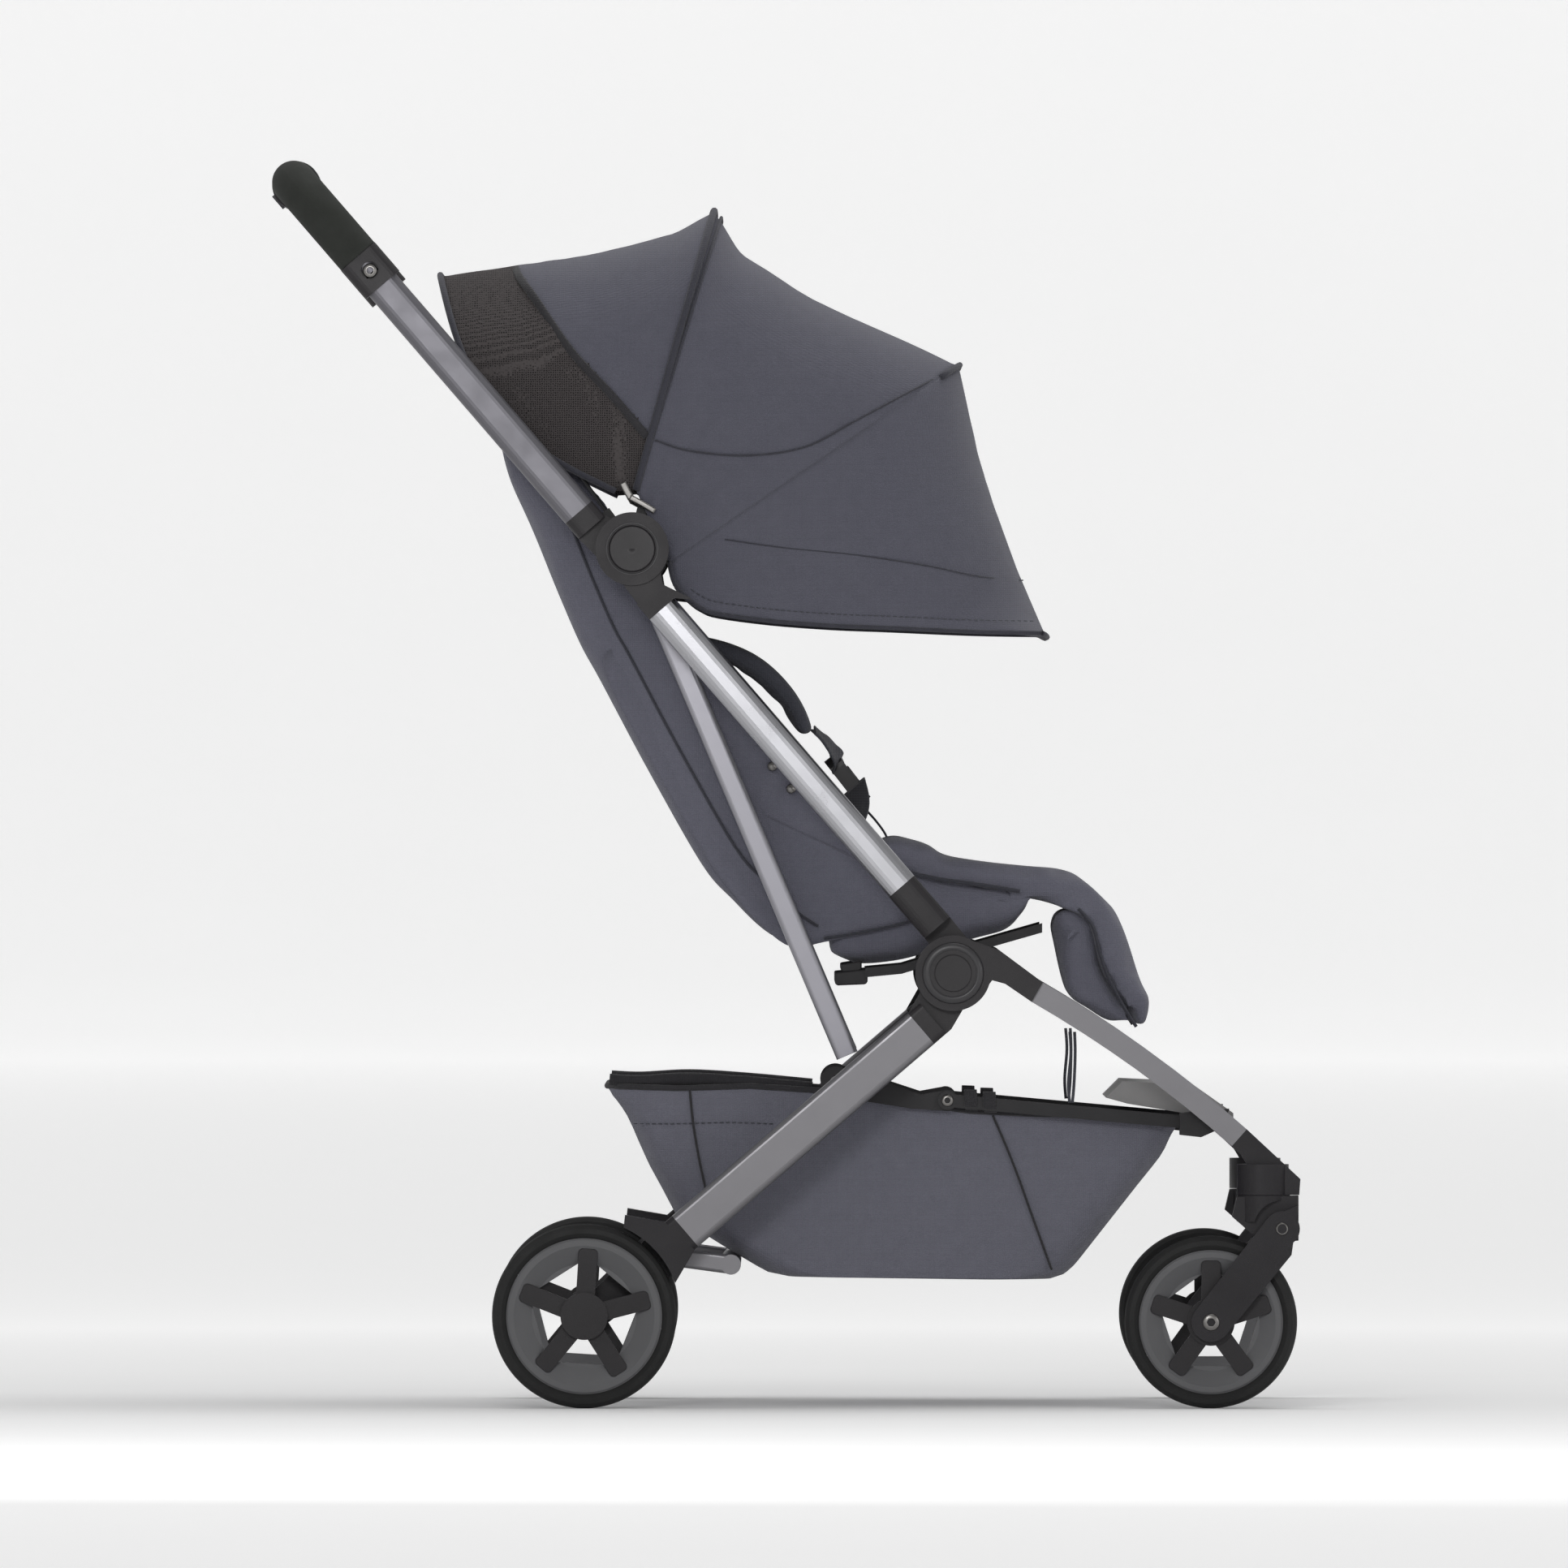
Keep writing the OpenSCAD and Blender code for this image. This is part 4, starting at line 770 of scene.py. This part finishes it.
def canopy_panel(name, feet, tops, finishes, choose=None, pull=0.0012, bulges=None):
    """Cloth over stations [foot, top]: one smooth skin, slightly rippled where it is pulled tight."""
    bulges = bulges or [0.0] * len(feet)
    rows_ = [canopy_section(f, t, bulge=b) for f, t, b in zip(feet, tops, bulges)]
    n, m = len(rows_), len(rows_[0])
    verts = []
    for i, row in enumerate(rows_):
        hold = math.sin(math.pi * min(max(i / (n - 1), 0), 1))
        for j, p in enumerate(row):
            out = (p - Vector((MID.x, 0, MID.z)))
            angle = math.degrees(math.atan2(p.z - MID.z, p.x - MID.x))
            reach = (p - Vector((MID.x, p.y, MID.z))).length
            ripple = noise.noise(Vector((angle * 0.11, reach * 9, 3.1 if p.y > 0 else 8.7)))
            ripple += 0.5 * noise.noise(Vector((angle * 0.33, reach * 5, p.y * 6)))
            normal = Vector((0, 1 if p.y > 0 else -1, 0)) if abs(p.y) > CANOPY_HALF - 0.001 else out.normalized()
            verts.append(p + normal * (ripple * pull * hold))
    obj = piece(name, verts, grid(n, m), *finishes, tidy=False)
    bm = bmesh.new()
    bm.from_mesh(obj.data)
    bmesh.ops.recalc_face_normals(bm, faces=bm.faces)
    middle = min(bm.faces, key=lambda f: abs(f.calc_center_median().y)
                 + abs(f.calc_center_median().x - hood(*CROWN).x))
    if middle.normal.dot(middle.calc_center_median() - Vector((MID.x, 0, MID.z))) < 0:
        bmesh.ops.reverse_faces(bm, faces=bm.faces)
    bm.to_mesh(obj.data)
    bm.free()
    if choose:
        for p in obj.data.polygons:
            p.material_index = choose(p.center)
    area = sum(p.area for p in obj.data.polygons)
    wide = max(sum((b - a).length for a, b in zip(r, r[1:])) for r in rows_)
    long_ = max(sum((rows_[i + 1][j] - rows_[i][j]).length for i in range(n - 1)) for j in range(m))
    wall = obj.modifiers.new("cloth", "SOLIDIFY")
    wall.thickness, wall.offset = 0.0015, -1
    settle(obj)
    return obj, area, wide, long_


def spread(count):
    return [i / count for i in range(count + 1)]


NET_EDGE = [(0.0, 76.0), (0.093, 80.0), (0.131, 98.0), (0.175, 107.0), (0.228, 111.5), (0.254, 112.0), (0.5, 112.5)]


def behind_net_edge(p):
    reach = math.hypot(p.x - MID.x, p.z - MID.z)
    angle = math.degrees(math.atan2(p.z - MID.z, p.x - MID.x))
    for (r0, a0), (r1, a1) in zip(NET_EDGE, NET_EDGE[1:]):
        if r0 <= reach <= r1:
            return 1 if angle > lerp(a0, a1, (reach - r0) / (r1 - r0)) else 0
    return 0


rear_feet = [lerp(MID + Vector((-0.014, 0, 0.049)), MID + Vector((0.002, 0, 0.050)), f) for f in spread(40)]
rear_tops = [canopy_top((REAR, CROWN, 0.011, 1), f) for f in spread(40)]
rear_cloth, rear_area, rear_wide, rear_long = canopy_panel(
    "canopy_rear_cloth", rear_feet, rear_tops, (canopy_cloth, net_cloth), behind_net_edge,
    bulges=[0.036 * (1 - smoothstep(0, 0.75, f)) for f in spread(40)])
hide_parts("canopy_rear_panel")
mid_feet = [lerp(MID + Vector((0.003, 0, 0.050)), LOW_EDGE[0], f) for f in spread(44)]
mid_tops = [canopy_top((CROWN, BROW, 0.018, 0), f) for f in spread(44)]
mid_cloth, mid_area, mid_wide, mid_long = canopy_panel("canopy_mid_cloth", mid_feet, mid_tops, (canopy_cloth,))
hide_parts("canopy_mid_panel")
brow_feet = [LOW_EDGE[0]] + along(LOW_EDGE, 4)[1:]
brow_tops = []
for f in spread(len(brow_feet) - 1):
    chord = lerp(hood(*BROW), RIM, f)
    brow_tops.append(chord - (chord - MID).normalized() * (0.008 * math.sin(math.pi * f)))
brow_cloth, brow_area, brow_wide, brow_long = canopy_panel(
    "canopy_visor_cloth", brow_feet, brow_tops, (canopy_cloth,))
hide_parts("canopy_visor")
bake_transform(rear_cloth)
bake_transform(mid_cloth)
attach(brow_cloth, "canopy_front")


def skin_y(reach, top_reach):
    """How far out the cloth is at a distance from the hinge, under a top at top_reach."""
    over = reach - (top_reach - CORNER)
    return CANOPY_HALF if over <= 0 else CANOPY_HALF - CORNER + math.sqrt(max(CORNER ** 2 - over ** 2, 0.0))


def on_cloth(x, z, tops, lift=0.001):
    """Sets a side-view point on the cloth's outside."""
    p = Vector((x, 0, z)) - Vector((MID.x, 0, MID.z))
    reach, angle = math.hypot(p.x, p.z), math.atan2(p.z, p.x)
    near = min(tops, key=lambda t: abs(math.atan2(t.z - MID.z, t.x - MID.x) - angle))
    top_reach = math.hypot(near.x - MID.x, near.z - MID.z)
    return Vector((x, skin_y(min(reach, top_reach), top_reach) + lift, z))


def arch(foot, top, lift=0.0012, bulge=0.0, above=0.0):
    """The cloth's section at a bow, lifted off it, for piping; above leaves out its lower share."""
    path = canopy_section(foot, top, 20, 14, bulge)
    path = [p for p in path if (p - Vector((foot.x, p.y, foot.z))).length >= above * (top - foot).length]
    return [p + ((Vector((0, 1 if p.y > 0 else -1, 0)) if abs(p.y) > CANOPY_HALF - 0.001
                  else (p - MID).normalized()) * lift)
            for p in path]


for label, body, foot, top, radius, bulge, above in (
    ("rear_piping", "main_frame", rear_feet[0], rear_tops[0], 0.0028, 0.036, 0.0),
    ("crown_piping", "canopy_mid", mid_feet[0], mid_tops[0], 0.0032, 0.0, 0.0),
    ("crown_piping_second", "canopy_mid", lerp(mid_feet[0], mid_feet[1], 0.6),
     mid_tops[1] + Vector((0.002, 0, 0)), 0.0014,
     0.0, 0.0),
    ("brow_piping", "canopy_front", brow_feet[0], hood(*BROW), 0.0026, 0.0, 0.93),
    ("visor_piping", "canopy_front", brow_feet[-1], RIM, 0.0022, 0.0, 0.0),
):
    keep(tube(label, [arch(foot, top, bulge=bulge, above=above)], radius, piping_cloth, 8), body)

hem = [p + Vector((0, CANOPY_HALF, 0)) for p in brow_feet]
keep(tube("visor_hem", both(hem), 0.0018, piping_cloth, 8), "canopy_front")
drop = [Vector((p.x + 0.001, CANOPY_HALF + 0.0004, p.z + 0.010)) for p in brow_feet[9:-1]]
repeat("visor_hem_stitches", stitch_row, both(drop), "canopy_front", "seat_cloth",
       Spacing=0.0052, Length=0.0032, Thickness=0.0004)

seam = [(-109, 819), (-80, 810), (-32, 806), (17, 813), (58, 834), (106, 860), (142, 879)]
seam_path = along([on_cloth(x / 1000, z / 1000, mid_tops) for x, z in seam], 8)
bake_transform(tube("canopy_side_seam", both(seam_path), 0.0009, piping_cloth, 6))
# A thin dark tube in the piping cloth along the visor's fold: painted shade of the crease there.
visor_crease_shade = along([on_cloth(x / 1000, z / 1000, brow_tops, 0.0004) for x, z in
                    ((-50, 735), (0, 728), (60, 722), (120, 713), (165, 704), (203, 701))], 8)
keep(tube("visor_fold_line", both(visor_crease_shade), 0.0006, piping_cloth, 5), "canopy_front")

net_front = along([on_cloth(x / 1000, z / 1000, rear_tops, 0.0012) for x, z in
                   ((-228, 966), (-224, 957), (-211, 939), (-180, 894), (-146, 857), (-116, 822))], 8)
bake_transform(tube("net_binding", both(net_front), 0.0022, dark_tape, 8, squash=(1.6, 0.6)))

# Slider and puller of the zip at the foot of the net
pulls = []
for hand in (RIGHT, LEFT):
    y0 = CANOPY_HALF + 0.003
    slider = [MID + Vector((x, y0, z)) for x, z in ((-0.008, 0.056), (-0.005, 0.050), (-0.001, 0.043))]
    tab = [MID + Vector((x, y0 + 0.002, z)) for x, z in ((-0.002, 0.044), (0.009, 0.038), (0.019, 0.032))]
    for path, width in ((slider, 0.0060), (tab, 0.0050)):
        path = [Vector((p.x, hand * p.y, p.z)) for p in path]
        verts, faces = strap_mesh(along(path, 5), width, 0.0026, (0.5, 0, 0.86))
        pulls.append((verts, faces))
keep(many("zip_pullers", pulls, puller_metal), "main_frame")

# ---- basket ----

RIM_LINE = [(-150, 271), (-122, 269), (-80, 271), (24, 267), (79, 261), (155, 250), (232, 247), (300, 246), (336, 240)]
REAR_LINE = [(-150, 271), (-145, 260), (-131, 242), (-115, 206), (-103, 184), (-91, 161), (-52, 136),
             (-15, 114), (4, 110)]
FRONT_LINE = [(336, 240), (330, 230), (322, 215), (301, 189), (283, 166), (265, 143), (247, 120),
              (238, 112), (226, 108)]
BASKET_HALF = 0.1475


def at_share(line, f):
    """The point of a side-view line at the share f of its steps."""
    k = min(int(f * (len(line) - 1)), len(line) - 2)
    t = f * (len(line) - 1) - k
    return seat(lerp(line[k][0], line[k + 1][0], t), lerp(line[k][1], line[k + 1][1], t))


def bag_ring(f, shrink=0.0, count=44):
    """One level of the bag, a rounded rectangle from the rear line to the front line."""
    a, b = at_share(REAR_LINE, f), at_share(FRONT_LINE, f)
    corner = 0.018 + 0.022 * f
    half = BASKET_HALF - shrink
    ring = []
    for i in range(count + 1):
        t = i / count
        p = lerp(a, b, t)
        if f < 0.3:
            rim_p = at_share(RIM_LINE, t)
            p = lerp(Vector((p.x, 0, rim_p.z - 0.30 * f * (rim_p.z - LOW.z + 0.26))), p, smoothstep(0, 0.3, f))
        d = min((p - a).length, (p - b).length)
        inset = corner - math.sqrt(max(corner ** 2 - max(corner - d, 0.0) ** 2, 0.0)) if d < corner else 0.0
        sag = 0.004 * math.sin(math.pi * f) * math.sin(math.pi * t) * noise.noise(Vector((t * 5, f * 3, 1.7)))
        ring.append(Vector((p.x, half - inset + sag - 0.003 * math.sin(math.pi * f) * math.sin(math.pi * t), p.z)))
    steps = 14
    front = [Vector((ring[-1].x, lerp(ring[-1].y, -ring[-1].y, k / steps), ring[-1].z)) for k in range(1, steps)]
    rear = [Vector((ring[0].x, lerp(-ring[0].y, ring[0].y, k / steps), ring[0].z)) for k in range(1, steps)]
    return ring + front + [Vector((p.x, -p.y, p.z)) for p in reversed(ring)] + rear


levels = [bag_ring(f / 26) for f in range(27)]
floor_ring = levels[-1]
centre = sum(floor_ring, Vector()) / len(floor_ring)
for k in range(1, 6):
    s = 1 - k / 6
    sag = 0.0015 * math.sin(k / 6 * math.pi)
    levels.append([Vector((centre.x + (p.x - centre.x) * s, p.y * s, p.z - sag)) for p in floor_ring])
ring_size = len(floor_ring)
bag_verts = [v for ring in levels for v in ring] + [centre]
bag_faces = grid(len(levels), ring_size, column_closed=True)
last = (len(levels) - 1) * ring_size
bag_faces += [(last + k, last + (k + 1) % ring_size, len(bag_verts) - 1) for k in range(ring_size)]
bag = piece("basket_bag", bag_verts, bag_faces, basket_cloth, basket_lining)
probe = min(bag.data.polygons, key=lambda p: p.center.z)
if probe.normal.z > 0:
    bag.data.flip_normals()
bag_wall = bag.modifiers.new("cloth", "SOLIDIFY")
bag_wall.thickness, bag_wall.offset, bag_wall.material_offset, bag_wall.material_offset_rim = 0.0022, -1, 1, 1
settle(bag)
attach(bag, "rear_frame")
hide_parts("basket")
# The cloth laid flat: from the rim down one wall, across the floor and up the wall opposite
to_middle = [sum((b[k] - a[k]).length for a, b in zip(levels, levels[1:])) + (bag_verts[-1] - levels[-1][k]).length
             for k in range(ring_size)]
rim_x, rim_y = [p.x for p in levels[0]], [p.y for p in levels[0]]
cut = [sum(to_middle[pick(range(ring_size), key=lambda k: axis[k] - abs(other[k]) * 0.01 * sign)]
           for pick, sign in ((min, -1), (max, 1))) for axis, other in ((rim_x, rim_y), (rim_y, rim_x))]

rim_path = levels[0]
keep(tube("basket_rim_binding", [[p + Vector((0, 0, 0.001)) for p in rim_path]], 0.0026, dark_tape, 8, closed=True),
     "rear_frame")
frame_line = along([seat(x, z + 6, BASKET_HALF - 0.006) for x, z in
                    ((-148, 271), (-122, 270), (-80, 272), (-30, 269), (24, 264))], 6)
keep(tube("basket_rim_cord", both(frame_line), 0.0055, basket_lining, 10), "rear_frame")
bag_y = BASKET_HALF + 0.0006
for label, line in (("basket_rear_seam", ((-80, 269), (-77, 240), (-72, 210), (-66, 182), (-62, 160))),
                    ("basket_front_seam", ((177, 247), (187, 224), (197, 199), (211, 160), (227, 116)))):
    seam = both(along([seat(x, z, bag_y) for x, z in line], 6))
    keep(tube(label, seam, 0.0011, dark_tape, 6), "rear_frame")
hem_line = along([seat(x, z, bag_y + 0.0002) for x, z in ((-126, 240), (-90, 240), (-50, 241), (-11, 240))], 12)
repeat("basket_hem_stitches", stitch_row, both(hem_line), "rear_frame", "basket_cloth",
       Spacing=0.0052, Length=0.0032, Thickness=0.00045)

# ---- small hardware ----

collar_low, collar_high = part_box("handle_collars")
collar = Vector(((collar_low.x + collar_high.x) / 2, 0, (collar_low.z + collar_high.z) / 2))
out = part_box("handle_tubes")[1].y
keep(many("collar_screws", [screw_mesh(collar, h, 0.0062, out + 0.0005) for h in (RIGHT, LEFT)], screw_steel),
     "handle")
for hand, label in ((RIGHT, "right"), (LEFT, "left")):
    fork_low, fork_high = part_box("fork_" + label)
    y = max(abs(fork_low.y), abs(fork_high.y))
    axle, fork_pin = pivot["front_wheel_spin_" + label], pivot["suspension_" + label]
    keep(many("fork_bolts_" + label, [screw_mesh(axle, hand, 0.0072, y), screw_mesh(fork_pin, hand, 0.0054, y)],
              screw_steel), "fork_arm_" + label)
rail_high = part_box("basket_rails")[1]
link_pin = seat(138.5, 259.8)
keep(many("crank_bolts", [screw_mesh(link_pin, h, 0.0052, rail_high.y) for h in (RIGHT, LEFT)], screw_steel),
     "rails")

# Polished rings round the hinge caps
cap_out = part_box("lower_hinge_caps")[1].y
mid_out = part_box("mid_hinge_caps")[1].y
rings = []
for hand in (RIGHT, LEFT):
    rings.append(turned_mesh(LOW, [(0.0192, cap_out - 0.0028), (0.0196, cap_out - 0.0006), (0.0215, cap_out - 0.0002),
                                   (0.0245, cap_out - 0.0008), (0.0258, cap_out - 0.0020),
                                    (0.0258, cap_out - 0.0034)], hand, 64))
keep(many("lower_hinge_rings", rings, ring_plastic), "front_frame")
rings = [turned_mesh(MID, [(0.0205, mid_out - 0.0022), (0.0210, mid_out - 0.0004), (0.0222, mid_out - 0.0004),
                           (0.0228, mid_out - 0.0016), (0.0228, mid_out - 0.0030)], h, 64) for h in (RIGHT, LEFT)]
keep(many("mid_hinge_rings", rings, ring_plastic), "main_frame")

# Straps from the front legs down to the basket's rails, and the cloth wraps on the rails
hang = []
for hand in (RIGHT, LEFT):
    for dx in (0.0, 0.004):
        hang.append(strap_mesh(along([seat(242 + dx * 1000, 318, hand * 0.186), seat(243 + dx * 900, 300, hand * 0.176),
                                      seat(241 + dx * 1200, 275, hand * 0.166), seat(242 + dx * 600, 258, hand * 0.162)], 6),
                               0.0026, 0.0010, (1, 0, 0)))
keep(many("footrest_straps", hang, webbing), "front_frame")
wraps = []
for hand in (RIGHT, LEFT):
    y = hand * (rail_high.y - 0.002)
    for x, z in ((158, 261), (174, 259)):
        loop = [seat(x, z + 8, y), seat(x, z + 8, y), seat(x + 0, z, y + hand * 0.0042), seat(x + 1, z - 8, y),
                seat(x + 1, z - 7, y - hand * 0.004), seat(x, z + 7, y - hand * 0.004)]
        wraps.append(strap_mesh(along(loop[1:], 4), 0.011, 0.0012, (1, 0, -0.07)))
keep(many("rail_wraps", wraps, dark_tape), "rails")

# ---- floor, light and camera ----

# A wide shallow bowl of paper, so that the wall behind is the same from every side
BOWL_TURNS = 96
FLOOR_REACH, RISE = 32.0, 3.0
bowl_line = [(0.0, 0.0), (1.5, 0.0), (4.0, 0.0), (12.0, 0.0), (FLOOR_REACH, 0.0)]
bowl_line += [(FLOOR_REACH + RISE * math.sin(a), RISE - RISE * math.cos(a))
              for a in [math.pi / 2 * k / 10 for k in range(1, 11)]]
bowl_line += [(FLOOR_REACH + RISE, 9.0)]
turns = [2 * math.pi * k / BOWL_TURNS for k in range(BOWL_TURNS)]
sweep = [Vector((r * math.cos(a), r * math.sin(a), z)) for r, z in bowl_line[1:] for a in turns]
bowl_faces = [tuple(range(BOWL_TURNS))]
for ring in range(len(bowl_line) - 2):
    low = ring * BOWL_TURNS
    high = low + BOWL_TURNS
    bowl_faces += [(low + k, high + k, high + (k + 1) % BOWL_TURNS, low + (k + 1) % BOWL_TURNS)
                   for k in range(BOWL_TURNS)]
backdrop = piece("studio_floor", sweep, bowl_faces, smooth=True)
paper = Finish("pale studio paper", linear(238, 238, 238), 0.95, Specular_IOR_Level=0.1)
paper.tint(paper.grain(3, 2.0), 0.99, 1.01)
paper.shader.inputs["Emission Color"].default_value = (1.0, 1.0, 1.0, 1.0)
reach = paper.add("ShaderNodeVectorMath", operation="LENGTH", Vector=paper.place).outputs["Value"]
glow = paper.sum(paper.level(reach, 0.6, 3.5, 0.02, 0.41), paper.level(reach, 31.0, 33.0, 0.0, -0.05))
paper.tree.links.new(glow, paper.shader.inputs["Emission Strength"])
backdrop.data.materials.append(paper.material)

world = bpy.data.worlds.new("studio")
bpy.context.scene.world = world
world.use_nodes = True
world.node_tree.nodes["Background"].inputs["Color"].default_value = (1.0, 1.0, 1.0, 1)
world.node_tree.nodes["Background"].inputs["Strength"].default_value = 0.42


def softbox(name, place, target, size, power):
    lamp = bpy.data.lights.new(name, "AREA")
    lamp.shape, lamp.size, lamp.size_y, lamp.energy = "RECTANGLE", size[0], size[1], power
    obj = bpy.data.objects.new(name, lamp)
    obj.location = place
    obj.rotation_euler = (Vector(target) - Vector(place)).to_track_quat("-Z", "Y").to_euler()
    bpy.context.scene.collection.objects.link(obj)


softbox("key", (-0.4, -3.2, 1.3), (0, 0, 0.5), (0.7, 0.6), 24)
softbox("overhead", (0.1, 0.3, 3.2), (0, 0, 0.4), (2.4, 1.2), 40)
softbox("fill", (2.2, -2.6, 0.9), (0, 0, 0.5), (1.2, 1.2), 7)

lens = bpy.data.cameras.new("camera")
LENS_MM, CAMERA_AWAY, CAMERA_HEIGHT = 672.9, 25.0, 0.528
lens.sensor_width, lens.lens = 36.0, LENS_MM
lens.clip_start, lens.clip_end = 1.0, 120.0
camera = bpy.data.objects.new("camera", lens)
camera.location = (0.0, -CAMERA_AWAY, CAMERA_HEIGHT)
camera.rotation_euler = (math.pi / 2, 0, 0)
bpy.context.scene.collection.objects.link(camera)
bpy.context.scene.camera = camera
bpy.context.scene.view_settings.view_transform = "Standard"
